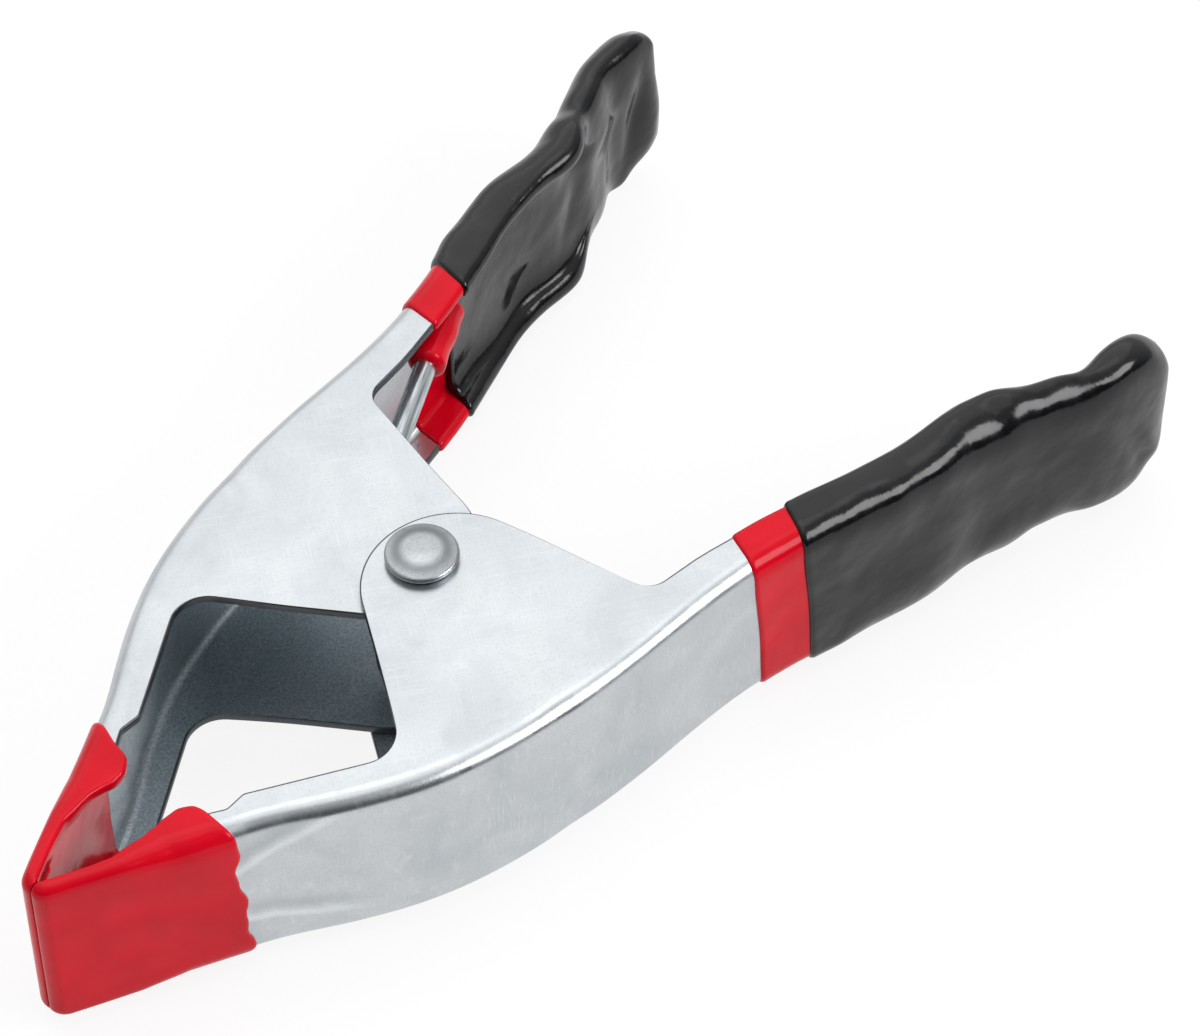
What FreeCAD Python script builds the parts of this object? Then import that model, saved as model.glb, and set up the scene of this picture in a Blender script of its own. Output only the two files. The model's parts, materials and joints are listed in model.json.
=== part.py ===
"""Two-lever spring clamp: pressed steel channel arms, one rivet, a torsion spring and dipped vinyl.

Frame, in millimetres: the pivot axis is +Z, the jaws point to -X and the handles to +X.
The origin is on the pivot axis, on the flat face of the rivet's formed tail.
Both arms are drawn on the +Y side, about a middle plane at z = 0. The outer arm and its coats are
then turned over about X, and everything is lifted so that the tail's face lies at z = 0.
"""
import FreeCAD, Part
import Sketcher
import math
import os

SIZES = [
    # alias, value in mm or degrees, what it is
    ("jaw_reach", 65.3, "pivot to the steel tip of a jaw"),
    ("jaw_angle", 26.6, "slope of a jaw plate to the centre line"),
    ("jaw_gap", 0.2, "between the closed jaws"),
    ("knee_length", 22.3, "straight jaw plate, from its tip to the knee"),
    ("body_rise", 29.7, "spine above the centre line at the pivot"),
    ("handle_reach", 84.0, "pivot to the steel end of a handle's tongue"),
    ("handle_rise", 38.5, "spine above the centre line at the end of the grip"),
    ("tongue_rise", 43.6, "spine above the centre line at the tongue's end"),
    ("tongue_length", 17.0, "tongue beyond the end of the side cheeks"),
    ("tongue_width", 20.6, "width of the flat tongue"),
    ("shoulder_run", 4.0, "length over which the arm narrows to the tongue"),
    ("shoulder_flare", 2.0, "how much wider each side of the tongue starts"),
    ("tongue_corner", 5.0, "corner radius of the tongue's end"),
    ("channel_width", 25.0, "outside width of a channel"),
    ("sheet_thick", 1.2, "steel sheet"),
    ("bend_radius", 2.4, "outside radius of the long bends"),
    ("edge_lip", 0.3, "how far the trimmed edge of a plate dips below its inner face"),
    ("nest_gap", 0.15, "running gap between nested ears"),
    ("ear_radius", 11.6, "round end of an ear"),
    ("ear_lift", 5.8, "centre of the ear's round above the pivot"),
    ("ear_back", 0.4, "centre of the ear's round towards the jaw"),
    ("lead_angle", 56.0, "slope of the ear's leading edge"),
    ("trail_angle", 78.0, "slope of the ear's trailing edge"),
    ("joggle_start", 12.0, "height where the ear's offset plane begins"),
    ("joggle_end", 16.0, "height where the ear joins the plain cheek"),
    ("throat_rise", 18.8, "corner of the leading edge and the front cheek's edge"),
    ("throat_fillet", 4.7, "radius in that corner"),
    ("neck_rise", 24.0, "corner of the trailing edge and the handle cheek's edge"),
    ("neck_fillet", 3.0, "radius in that corner"),
    ("notch_length", 25.3, "jaw tip to the step in the front cheek's edge"),
    ("notch_rise", 8.3, "foot of that step above the centre line"),
    ("notch_step", 2.4, "height of the step"),
    ("notch_run", 6.0, "raised edge before the step"),
    ("jaw_cheek_rise", 4.9, "free edge of a jaw's cheeks above the centre line"),
    ("jaw_cheek_run", 3.5, "level stretch of that edge"),
    ("run_out_length", 8.3, "jaw tip to where the side cheeks run out"),
    ("run_out_ramp", 4.5, "length over which they reach their full depth"),
    ("rivet_radius", 3.175, "rivet shank"),
    ("hole_play", 0.07, "radial play of the ears on the rivet"),
    ("head_radius", 4.7, "rivet head"),
    ("head_rim", 0.5, "straight rim under the head's dome"),
    ("head_height", 2.2, "rivet head above the ear"),
    ("tail_radius", 4.4, "formed tail"),
    ("tail_height", 1.8, "formed tail below the ear"),
    ("tail_chamfer", 0.8, "chamfer round the tail's flat face"),
    ("wire_radius", 1.5, "spring wire"),
    ("coil_play", 0.325, "radial gap between the coil and the rivet"),
    ("coil_turns", 4.0, "whole turns between the two legs"),
    ("coil_space", 0.05, "gap between neighbouring turns"),
    ("leg_bend_x", 14.5, "where a leg bends"),
    ("leg_bend_y", 19.0, "height at which a leg bends"),
    ("leg_bend_radius", 9.0, "centre-line radius of that bend"),
    ("leg_reach", 39.0, "pivot to where a leg presses on the spine"),
    ("leg_gap", 0.15, "leg to the spine's inner face and to the vinyl round it"),
    ("jaw_coat", 0.45, "vinyl on a jaw"),
    ("jaw_dip", 20.3, "jaw tip to the edge of its vinyl"),
    ("base_coat", 0.4, "red base vinyl on a handle"),
    ("base_coat_start", 30.3, "pivot to the edge of the red vinyl"),
    ("grip_coat", 0.6, "black vinyl over the red"),
    ("grip_coat_start", 38.2, "pivot to the edge of the black vinyl"),
    ("tongue_coat", 1.9, "black vinyl over the red on the tongue"),
]

TURNED_OVER = FreeCAD.Rotation(FreeCAD.Vector(1, 0, 0), 180)
UPRIGHT = FreeCAD.Rotation()
SEEN_ALONG_X = FreeCAD.Rotation(FreeCAD.Vector(1, 1, 1), 120)
SEEN_ALONG_Y = FreeCAD.Rotation(FreeCAD.Vector(1, 0, 0), 90)
UP = FreeCAD.Vector(0, 0, 1)
SAME_POINT = 0.001
LEAST_BEND = 0.3
BELOW = -20.0
ABOVE = 60.0
BEYOND = 5.0


class Model:
    """The document, its sheet of sizes, and the few kinds of object that the parts are made with."""

    def __init__(self, name):
        self.doc = FreeCAD.newDocument(name)
        self.sheet = self.doc.addObject("Spreadsheet::Sheet", "Sizes")
        for row, (alias, value, note) in enumerate(SIZES, start=1):
            self.sheet.set(f"A{row}", note)
            self.sheet.set(f"B{row}", str(value))
            self.sheet.setAlias(f"B{row}", alias)
        self.doc.recompute()

    def size(self, alias):
        return float(self.sheet.get(alias))

    def total(self, terms):
        """The sum of named sizes, less those marked with a minus, and its formula on the sheet."""
        value = 0.0
        formula = ""
        for term in terms:
            sign = "-" if term.startswith("-") else "+"
            alias = term.lstrip("-")
            value += self.size(alias) * (-1 if sign == "-" else 1)
            formula += f" {sign} Sizes.{alias}" if formula else f"Sizes.{alias}"
        return value, formula

    def bind(self, item, **formulas):
        """Ties properties of an object to formulas on the sheet's cells."""
        for name, formula in formulas.items():
            item.setExpression(name.replace("__", "."), formula)
        return item

    def hold(self, sketch, line, across, up):
        """Holds a curve's start at named distances from the sketch's origin."""
        if not across and not up:
            sketch.addConstraint(Sketcher.Constraint("Coincident", line, 1, -1, 1))
            return
        for kind, axis, terms in (("DistanceX", -2, across), ("DistanceY", -1, up)):
            if not terms:
                sketch.addConstraint(Sketcher.Constraint("PointOnObject", line, 1, axis))
                continue
            value, formula = self.total(terms)
            number = sketch.addConstraint(Sketcher.Constraint(kind, -1, 1, line, 1, value))
            sketch.setExpression(f"Constraints[{number}]", formula)

    def sketch(self, name, curves, turn=UPRIGHT):
        """A sketch of joined curves, on the XY plane unless turned."""
        sketch = self.doc.addObject("Sketcher::SketchObject", name)
        sketch.Placement = FreeCAD.Placement(FreeCAD.Vector(), turn)
        for curve in curves:
            sketch.addGeometry(curve, False)
        return sketch

    def prism(self, name, curves, length, turn=UPRIGHT):
        """A closed outline extruded equally to both sides of its plane."""
        prism = self.doc.addObject("Part::Extrusion", name)
        prism.Base = self.sketch(name + "_outline", curves, turn)
        prism.DirMode = "Normal"
        prism.Solid = True
        prism.Symmetric = True
        return self.bind(prism, LengthFwd=length)

    def zone(self, name, start, length, low=BELOW, high=ABOVE):
        """A box over a stretch of the arm, between two heights and wider than the clamp."""
        box = self.doc.addObject("Part::Box", name)
        box.Placement.Base.y = low
        box.Width = high - low
        self.bind(box, Placement__Base__x=start, Length=length)
        return self.bind(box, Placement__Base__z="-Sizes.channel_width", Height="2 * Sizes.channel_width")

    def rod(self, name, radius, height, placement):
        """A cylinder that starts at a placement."""
        rod = self.doc.addObject("Part::Cylinder", name)
        rod.Placement = placement
        return self.bind(rod, Radius=radius, Height=height)

    def join(self, name, shapes):
        fuse = self.doc.addObject("Part::MultiFuse", name)
        fuse.Shapes = shapes
        fuse.Refine = True
        return fuse

    def shared(self, name, base, tool):
        common = self.doc.addObject("Part::Common", name)
        common.Base = base
        common.Tool = tool
        return common

    def cut(self, name, base, tool):
        cut = self.doc.addObject("Part::Cut", name)
        cut.Base = base
        cut.Tool = tool
        return cut

    def bent(self, name, base, radius):
        """The base with its two long bends rounded."""
        self.doc.recompute()
        fillet = self.doc.addObject("Part::Fillet", name)
        fillet.Base = base
        fillet.Edges = [(number, radius, radius) for number in spine_edges(base.Shape)]
        return fillet

    def place(self, item, label, rotation=UPRIGHT):
        """Labels a finished sub-part and lifts it to its height above the tail's flat face."""
        item.Label = label
        item.Placement = FreeCAD.Placement(FreeCAD.Vector(), rotation)
        lift = "Sizes.tail_height + (Sizes.channel_width + Sizes.sheet_thick + Sizes.nest_gap) / 2"
        return self.bind(item, Placement__Base__z=lift)


def spine_edges(shape):
    """Numbers of the long edges where the spine turns into the cheeks."""
    numbers = []
    for number, edge in enumerate(shape.Edges, start=1):
        box = edge.BoundBox
        if box.YMin > 0 and box.ZLength < SAME_POINT:
            numbers.append(number)
    return numbers


def vector(spot):
    return FreeCAD.Vector(spot[0], spot[1], 0)


def polyline(points):
    """Straight edges through the points, as (x, y) pairs. A point given twice makes no edge."""
    spots = [vector(point) for point in points]
    return [Part.LineSegment(a, b) for a, b in zip(spots, spots[1:]) if (b - a).Length > SAME_POINT]


def smooth_curve(points, first_direction=None):
    """One smooth curve through the points, starting in the given direction."""
    spots = [vector(point) for point in points]
    curve = Part.BSplineCurve()
    if first_direction is None:
        curve.interpolate(Points=spots)
        return curve
    last_direction = (spots[-1] - spots[-2]).normalize()
    curve.interpolate(Points=spots, InitialTangent=first_direction, FinalTangent=last_direction)
    return curve


def grown(points, distance):
    """The points moved sideways, to the left of their run, by a distance."""
    moved = []
    for number, (x, y) in enumerate(points):
        x0, y0 = points[max(number - 1, 0)]
        x1, y1 = points[min(number + 1, len(points) - 1)]
        run = math.hypot(x1 - x0, y1 - y0)
        moved.append((x - distance * (y1 - y0) / run, y + distance * (x1 - x0) / run))
    return moved


def rounded_corner(before, corner, after, radius):
    """The tangent arc in a corner between two straight runs, with its two ends."""
    back = math.atan2(before[1] - corner[1], before[0] - corner[0])
    ahead = math.atan2(after[1] - corner[1], after[0] - corner[0])
    half = math.acos(math.cos(ahead - back)) / 2
    middle = math.atan2(math.sin(back) + math.sin(ahead), math.cos(back) + math.cos(ahead))
    setback = radius / math.tan(half)
    depth = radius / math.sin(half) - radius
    spots = []
    for distance, angle in ((setback, back), (depth, middle), (setback, ahead)):
        spots.append((corner[0] + distance * math.cos(angle), corner[1] + distance * math.sin(angle)))
    arc = Part.Arc(*[vector(spot) for spot in spots])
    return spots[0], arc, spots[2]


class Profile:
    """The side outline of an arm at +Y: its spine's outer face and its cheeks' free edges."""

    def __init__(self, size):
        self.size = size
        self.slope = math.radians(size("jaw_angle"))
        coated_plate = (size("sheet_thick") + size("jaw_coat")) / math.cos(self.slope)
        self.tip = (-size("jaw_reach"), size("jaw_gap") / 2 + coated_plate)
        self.cheeks_end = size("handle_reach") - size("tongue_length")

    def on_jaw(self, x, depth=0.0):
        """A point on the straight jaw plate, at a depth below its outer face."""
        return (x, self.tip[1] + (x - self.tip[0]) * math.tan(self.slope) - depth / math.cos(self.slope))

    def spine_points(self):
        """The outer face of the spine from the jaw's knee to the tongue's end."""
        size = self.size
        knee_x, knee_y = self.on_jaw(self.tip[0] + size("knee_length"))
        body = size("body_rise")
        reach = size("handle_reach")
        climb = body - knee_y
        lift = size("handle_rise") - body
        flare = size("tongue_rise") - size("handle_rise")
        return [
            (knee_x, knee_y),
            (0.80 * knee_x, knee_y + 0.33 * climb),
            (0.56 * knee_x, knee_y + 0.67 * climb),
            (0.28 * knee_x, knee_y + 0.89 * climb),
            (0.0, body),
            (0.16 * reach, body + 0.09 * lift),
            (0.29 * reach, body + 0.17 * lift),
            (0.41 * reach, body + 0.38 * lift),
            (0.54 * reach, body + 0.72 * lift),
            (0.67 * reach, body + 0.93 * lift),
            (0.77 * reach, body + lift),
            (0.90 * reach, body + lift + 0.66 * flare),
            (reach, body + lift + flare),
        ]

    def under_spine(self, x, depth):
        """The point at x on the line that lies a depth below the spine's outer face."""
        points = grown(self.spine_points(), -depth)
        x0, y0 = points[-2]
        x1, y1 = points[-1]
        if x > x1:
            return (x, y1 + (x - x1) * (y1 - y0) / (x1 - x0))
        upright = Part.LineSegment(FreeCAD.Vector(x, BELOW, 0), FreeCAD.Vector(x, ABOVE, 0))
        crossing = smooth_curve(points).intersect(upright)[0]
        return (crossing.X, crossing.Y)

    def on_ear(self, degrees):
        """A point on the ear's round end."""
        radius = self.size("ear_radius")
        angle = math.radians(degrees)
        return (radius * math.cos(angle) - self.size("ear_back"),
                radius * math.sin(angle) + self.size("ear_lift"))

    def ear_foot(self):
        """Where the leading edge meets the ear's round."""
        return self.on_ear(270 - self.size("lead_angle"))

    def ear_heel(self):
        """Where the trailing edge meets the ear's round."""
        return self.on_ear(self.size("trail_angle") - 90)

    def throat(self):
        """The corner between the ear's leading edge and the front cheek's edge."""
        x, y = self.ear_foot()
        rise = self.size("throat_rise")
        return (x - (rise - y) / math.tan(math.radians(self.size("lead_angle"))), rise)

    def neck(self):
        """The corner between the ear's trailing edge and the handle cheek's edge."""
        x, y = self.ear_heel()
        rise = self.size("neck_rise")
        return (x + (rise - y) / math.tan(math.radians(self.size("trail_angle"))), rise)

    def on_front(self, distance, step=0.0):
        """A point on the front cheek's straight edge, at a distance past the step, raised by a step."""
        notch = self.tip[0] + self.size("notch_length")
        rise = self.size("notch_rise")
        corner_x, corner_y = self.throat()
        slope = (corner_y - rise) / (corner_x - notch)
        return (notch + distance, rise + distance * slope + step)

    def front_edge(self, grow):
        """The free edge from the jaw's tip, where only the plate is left, to the step's foot."""
        size = self.size
        run_out = self.tip[0] + size("run_out_length")
        level = run_out + size("run_out_ramp")
        rise = size("jaw_cheek_rise")
        step = size("notch_step")
        below_plate = size("sheet_thick") + size("edge_lip")
        points = [
            self.on_jaw(self.tip[0] - BEYOND, below_plate),
            self.on_jaw(run_out, below_plate),
            (level, rise),
            (level + size("jaw_cheek_run"), rise),
            self.on_front(-size("notch_run"), step),
            self.on_front(-size("notch_run") / 2, step),
            self.on_front(-0.1 * step, 0.3 * step),
            self.on_front(0.2 * step),
        ]
        return grown(points, -grow)

    def handle_edge(self, grow):
        """The free edge of a handle's cheeks, from near the neck to where they run out."""
        size = self.size
        neck = size("neck_rise")
        reach = size("handle_reach")
        points = [
            (0.27 * reach, neck + 0.8),
            (0.42 * reach, neck + 2.9),
            (0.57 * reach, neck + 6.5),
            (0.68 * reach, neck + 8.6),
            (self.cheeks_end - 3.0, neck + 9.3),
        ]
        return grown(points, -grow)

    def tongue_edge(self, grow):
        """The free edge under the tongue, from the cheeks' run-out to beyond its end."""
        size = self.size
        depth = size("sheet_thick") + size("edge_lip") + grow
        start = self.cheeks_end + grow
        end = size("handle_reach") + BEYOND
        stations = [start + (end - start) * share for share in (0.0, 0.2, 0.4, 0.6, 0.8, 1.0)]
        return [self.under_spine(x, depth) for x in stations]

    def cheek_outline(self, grow):
        """The closed outline of a cheek, open to well above the spine."""
        size = self.size
        front = self.front_edge(grow)
        handle = self.handle_edge(grow)
        tongue = self.tongue_edge(grow)
        throat_start, throat_arc, throat_end = rounded_corner(
            front[-1], self.throat(), self.ear_foot(), size("throat_fillet"))
        neck_start, neck_arc, neck_end = rounded_corner(
            self.ear_heel(), self.neck(), handle[0], size("neck_fillet"))
        ear = [vector(spot) for spot in (self.ear_foot(), self.on_ear(270), self.ear_heel())]
        closing = [tongue[-1], (tongue[-1][0], ABOVE), (front[0][0], ABOVE), front[0]]
        return [
            *polyline(front + [throat_start]),
            throat_arc,
            *polyline([throat_end, self.ear_foot()]),
            Part.Arc(*ear),
            *polyline([self.ear_heel(), neck_start]),
            neck_arc,
            *polyline([neck_end, handle[0]]),
            smooth_curve(handle),
            *polyline([handle[-1], tongue[0]]),
            smooth_curve(tongue),
            *polyline(closing),
        ]

    def block_outline(self, grow, end_grow):
        """The closed outline of everything below a face of the spine, its ends moved by end_grow."""
        knee_direction = FreeCAD.Vector(math.cos(self.slope), math.sin(self.slope), 0)
        tip_x = self.tip[0] - end_grow
        end_x = self.size("handle_reach") + end_grow
        spine = grown(self.spine_points(), grow)
        spine[0] = self.on_jaw(spine[0][0], -grow)
        spine[-1] = (end_x, self.under_spine(end_x, -grow)[1])
        tip = self.on_jaw(tip_x, -grow)
        return [
            *polyline([tip, spine[0]]),
            smooth_curve(spine, knee_direction),
            *polyline([spine[-1], (end_x, BELOW), (tip_x, BELOW), tip]),
        ]

    def plan_outline(self, grow):
        """The arm seen along Y: full width, then narrowed to the tongue with its rounded end."""
        size = self.size
        wide = size("channel_width")
        half = size("tongue_width") / 2 + grow
        flared = half + size("shoulder_flare")
        shoulder = self.cheeks_end + grow
        narrow = shoulder + size("shoulder_run")
        start = 2 * self.tip[0]
        end = size("handle_reach") + grow
        radius = size("tongue_corner")
        low_start, low_arc, low_end = rounded_corner((0, -half), (end, -half), (end, half), radius)
        high_start, high_arc, high_end = rounded_corner((end, -half), (end, half), (0, half), radius)
        return [
            *polyline([(start, wide), (start, -wide), (shoulder, -wide), (shoulder, -flared),
                       (narrow, -half), low_start]),
            low_arc,
            *polyline([low_end, high_start]),
            high_arc,
            *polyline([high_end, (narrow, half), (shoulder, flared), (shoulder, wide), (start, wide)]),
        ]


def pressing(model, profile, name, grow):
    """The channel pressing without its ears' offset, every face moved outwards by grow."""
    size = model.size
    thick = size("sheet_thick")
    wide = f"Sizes.channel_width + 2 * {grow}"
    narrow = f"Sizes.channel_width - 2 * Sizes.sheet_thick - 2 * {grow}"
    block = model.prism(name + "_block", profile.block_outline(grow, grow), wide)
    hollow = model.prism(name + "_hollow", profile.block_outline(-thick - grow, BEYOND), narrow)
    outside = model.bent(name + "_outside", block, size("bend_radius") + grow)
    inside = model.bent(name + "_inside", hollow, max(size("bend_radius") - thick - grow, LEAST_BEND))
    cheeks = model.prism(name + "_cheeks", profile.cheek_outline(grow), wide)
    plan = model.prism(name + "_plan", profile.plan_outline(grow), "4 * Sizes.body_rise", SEEN_ALONG_Y)
    trimmed = model.shared(name + "_trimmed", outside, cheeks)
    narrowed = model.shared(name + "_narrowed", trimmed, plan)
    return model.cut(name + "_channel", narrowed, inside)


def ear_sheet(model, name, offset):
    """The two ears' sheet seen along the arm: each cheek moved out by offset over a short ramp."""
    size = model.size
    half = size("channel_width") / 2
    inner = half - size("sheet_thick")
    start = size("joggle_start")
    end = size("joggle_end")
    sheets = []
    for label, side in (("near", 1), ("far", -1)):
        section = [(end, inner), (start, inner + offset), (BELOW, inner + offset),
                   (BELOW, half + offset), (start, half + offset), (end, half), (end, inner)]
        outline = polyline([(y, side * z) for y, z in section])
        sheets.append(model.prism(f"{name}_{label}_ear", outline, "2 * Sizes.jaw_reach", SEEN_ALONG_X))
    return model.join(name + "_ear_sheet", sheets)


def arm(model, profile, name, side, rotation):
    """A pressed arm whose ears are set outwards (side 1) or inwards (side -1), with rivet holes."""
    offset = side * (model.size("sheet_thick") + model.size("nest_gap")) / 2
    whole = pressing(model, profile, name, 0.0)
    start = profile.throat()[0]
    length = profile.neck()[0] - start
    ear_zone = model.zone(name + "_ear_zone", f"{start}", f"{length}", BELOW, model.size("joggle_end"))
    plain = model.cut(name + "_plain", whole, ear_zone)
    cheeks = model.prism(name + "_ear_cheeks", profile.cheek_outline(0.0), "2 * Sizes.channel_width")
    ear_area = model.shared(name + "_ear_area", cheeks, ear_zone)
    ears = model.shared(name + "_ears", ear_sheet(model, name, offset), ear_area)
    hole_start = FreeCAD.Placement(FreeCAD.Vector(0, 0, -model.size("channel_width")), UPRIGHT)
    hole = model.rod(name + "_hole", "Sizes.rivet_radius + Sizes.hole_play",
                     "2 * Sizes.channel_width", hole_start)
    drilled = model.cut(name, model.join(name + "_whole", [plain, ears]), hole)
    return model.place(drilled, name, rotation)


def jaw_coat(model, profile, name, rotation):
    """The vinyl dip on a jaw."""
    thick = pressing(model, profile, name, model.size("jaw_coat"))
    steel = pressing(model, profile, name + "_steel", 0.0)
    zone = model.zone(name + "_zone", "-2 * Sizes.jaw_reach", "Sizes.jaw_reach + Sizes.jaw_dip",
                      model.size("jaw_gap") / 2)
    dipped = model.shared(name + "_dipped", thick, zone)
    return model.place(model.cut(name, dipped, steel), name, rotation)


def handle_base_coat(model, profile, name, rotation):
    """The first, red dip on a handle, with room for the spring's leg."""
    thick = pressing(model, profile, name, model.size("base_coat"))
    steel = pressing(model, profile, name + "_steel", 0.0)
    zone = model.zone(name + "_zone", "Sizes.base_coat_start", "2 * Sizes.handle_reach")
    skin = model.cut(name + "_skin", model.shared(name + "_dipped", thick, zone), steel)
    return model.place(model.cut(name, skin, leg_groove(model, profile, name)), name, rotation)


def grip(model, profile, name, rotation):
    """The second, black dip on a handle: thicker still on the tongue, with room for the leg."""
    base = model.size("base_coat")
    thick = pressing(model, profile, name, base + model.size("grip_coat"))
    bulb = pressing(model, profile, name + "_bulb", base + model.size("tongue_coat"))
    under = pressing(model, profile, name + "_under", base)
    zone = model.zone(name + "_zone", "Sizes.grip_coat_start", "2 * Sizes.handle_reach")
    bulb_zone = model.zone(name + "_bulb_zone", f"{profile.cheeks_end} + Sizes.shoulder_run",
                           "2 * Sizes.handle_reach")
    dipped = model.join(name + "_dipped", [
        model.shared(name + "_sleeve", thick, zone),
        model.shared(name + "_tongue", bulb, bulb_zone)])
    skin = model.cut(name + "_skin", dipped, under)
    return model.place(model.cut(name, skin, leg_groove(model, profile, name)), name, rotation)


class Wire:
    """The spring's centre line: a leg's three corners, and the coil's angle, pitch and height."""

    def __init__(self, size, profile):
        radius = size("rivet_radius") + size("coil_play") + size("wire_radius")
        depth = size("sheet_thick") + size("leg_gap") + size("wire_radius")
        bend = vector((size("leg_bend_x"), size("leg_bend_y")))
        self.radius = radius
        self.angle = math.atan2(bend.y, bend.x) + math.acos(radius / bend.Length)
        self.leaves = (radius * math.cos(self.angle), radius * math.sin(self.angle))
        self.bend = (bend.x, bend.y)
        self.end = profile.under_spine(size("leg_reach"), depth)
        self.pitch = 2 * size("wire_radius") + size("coil_space")
        self.turns = size("coil_turns") + 1 - self.angle / math.pi
        self.top = self.turns * self.pitch / 2


def leg_groove(model, profile, name):
    """The room that a coat leaves round the end of the spring's leg."""
    wire = Wire(model.size, profile)
    run = vector(wire.end) - vector(wire.bend)
    start = FreeCAD.Placement(vector(wire.bend) + UP * wire.top, FreeCAD.Rotation(UP, run))
    return model.rod(name + "_leg_groove", "Sizes.wire_radius + Sizes.leg_gap",
                     f"{run.Length} + Sizes.leg_gap", start)


def torsion_spring(model, profile):
    """Close-wound wire round the rivet, turning clockwise as it climbs, with a leg for each arm."""
    size = model.size
    wire = Wire(size, profile)
    start, arc, after = rounded_corner(wire.leaves, wire.bend, wire.end, size("leg_bend_radius"))
    curves = [*polyline([wire.leaves, start]), arc, *polyline([after, wire.end])]
    upper = [curve.toShape() for curve in curves]
    for edge in upper:
        edge.translate(UP * wire.top)
    lower = [edge.copy() for edge in upper]
    for edge in lower:
        edge.rotate(FreeCAD.Vector(), FreeCAD.Vector(1, 0, 0), 180)
    coil = Part.makeHelix(wire.pitch, 2 * wire.top, wire.radius, 0, True)
    coil.rotate(FreeCAD.Vector(), UP, -math.degrees(wire.angle))
    coil.translate(UP * -wire.top)
    path = Part.Wire(Part.__sortEdges__(lower + coil.Edges + upper))
    lower_end = FreeCAD.Vector(wire.end[0], -wire.end[1], -wire.top)
    heading = FreeCAD.Vector(after[0] - wire.end[0], wire.end[1] - after[1], 0)
    sweep = Part.BRepOffsetAPI.MakePipeShell(path)
    sweep.setBiNormalMode(UP)
    sweep.add(Part.Wire(Part.makeCircle(size("wire_radius"), lower_end, heading)))
    sweep.build()
    sweep.makeSolid()
    spring = model.doc.addObject("Part::Feature", "torsion_spring")
    spring.Shape = sweep.shape()
    return model.place(spring, "torsion_spring")


def pivot_rivet(model):
    """The rivet, turned about its axis: flat formed tail, shank, and a head with a shallow dome."""
    body = model.doc.addObject("PartDesign::Body", "pivot_rivet")
    sketch = body.newObject("Sketcher::SketchObject", "pivot_rivet_half")
    plane = [item for item in body.Origin.OriginFeatures if item.Role == "XZ_Plane"][0]
    sketch.AttachmentSupport = [(plane, "")]
    sketch.MapMode = "FlatFace"
    above_ears = ("tail_height", "channel_width", "sheet_thick", "nest_gap")
    corners = [
        ((), ()),
        (("tail_radius", "-tail_chamfer"), ()),
        (("tail_radius",), ("tail_chamfer",)),
        (("tail_radius",), ("tail_height",)),
        (("rivet_radius",), ("tail_height",)),
        (("rivet_radius",), above_ears),
        (("head_radius",), above_ears),
        (("head_radius",), above_ears + ("head_rim",)),
        ((), above_ears + ("head_height",)),
    ]
    places = [(model.total(across)[0], model.total(up)[0]) for across, up in corners]
    for line in polyline(places[:-1]):
        sketch.addGeometry(line, False)
    rim, top = places[-2:]
    dome_depth = top[1] - rim[1]
    dome_radius = (rim[0] ** 2 + dome_depth ** 2) / (2 * dome_depth)
    centre = FreeCAD.Vector(0, top[1] - dome_radius, 0)
    rim_angle = math.atan2(rim[1] - centre.y, rim[0])
    circle = Part.Circle(centre, UP, dome_radius)
    dome = sketch.addGeometry(Part.ArcOfCircle(circle, rim_angle, math.pi / 2), False)
    axis = sketch.addGeometry(polyline([top, places[0]])[0], False)
    for line in range(axis):
        sketch.addConstraint(Sketcher.Constraint("Coincident", line, 2, line + 1, 1))
    sketch.addConstraint(Sketcher.Constraint("Coincident", axis, 2, 0, 1))
    sketch.addConstraint(Sketcher.Constraint("PointOnObject", dome, 3, -2))
    for line, (across, up) in enumerate(corners):
        model.hold(sketch, line, across, up)
    turned = body.newObject("PartDesign::Revolution", "pivot_rivet_turned")
    turned.Profile = sketch
    turned.ReferenceAxis = (sketch, ["V_Axis"])
    turned.Angle = 360
    body.Label = "pivot_rivet"
    return body


def check(model, parts):
    """Stops the build if any object failed or any sub-part isn't sound."""
    for item in model.doc.Objects:
        if "Invalid" in item.State or "Error" in item.State:
            raise RuntimeError(f"{item.Label} failed to build: {item.State}")
    for part in parts:
        if part.Shape.isNull() or not part.Shape.isValid() or not part.Shape.Solids:
            raise RuntimeError(f"{part.Label} is not a sound solid")
        print(part.Label, len(part.Shape.Solids), round(part.Shape.Volume, 1))


def main():
    model = Model("spring_clamp")
    profile = Profile(model.size)
    parts = [
        arm(model, profile, "outer_arm", 1, TURNED_OVER),
        arm(model, profile, "inner_arm", -1, UPRIGHT),
        pivot_rivet(model),
        torsion_spring(model, profile),
    ]
    for side, rotation in (("outer", TURNED_OVER), ("inner", UPRIGHT)):
        parts.append(jaw_coat(model, profile, side + "_jaw_coat", rotation))
        parts.append(handle_base_coat(model, profile, side + "_handle_base_coat", rotation))
        parts.append(grip(model, profile, side + "_grip", rotation))
    model.doc.recompute()
    check(model, parts)
    os.makedirs("parts", exist_ok=True)
    for part in parts:
        part.Shape.exportStep(f"parts/{part.Label}.step")


main()
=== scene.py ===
"""Looks of a spring clamp: two zinc-plated pressed arms, a rivet, a torsion spring and dipped vinyl.

Shapes are worked out in millimetres about the middle plane of the clamp, with every arm drawn on the
+Y side, and put into the frame, in metres, when their mesh is made.
"""
import json
import math
from functools import partial

import bmesh
import bpy
import numpy as np
from mathutils import Matrix, Vector, noise


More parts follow.
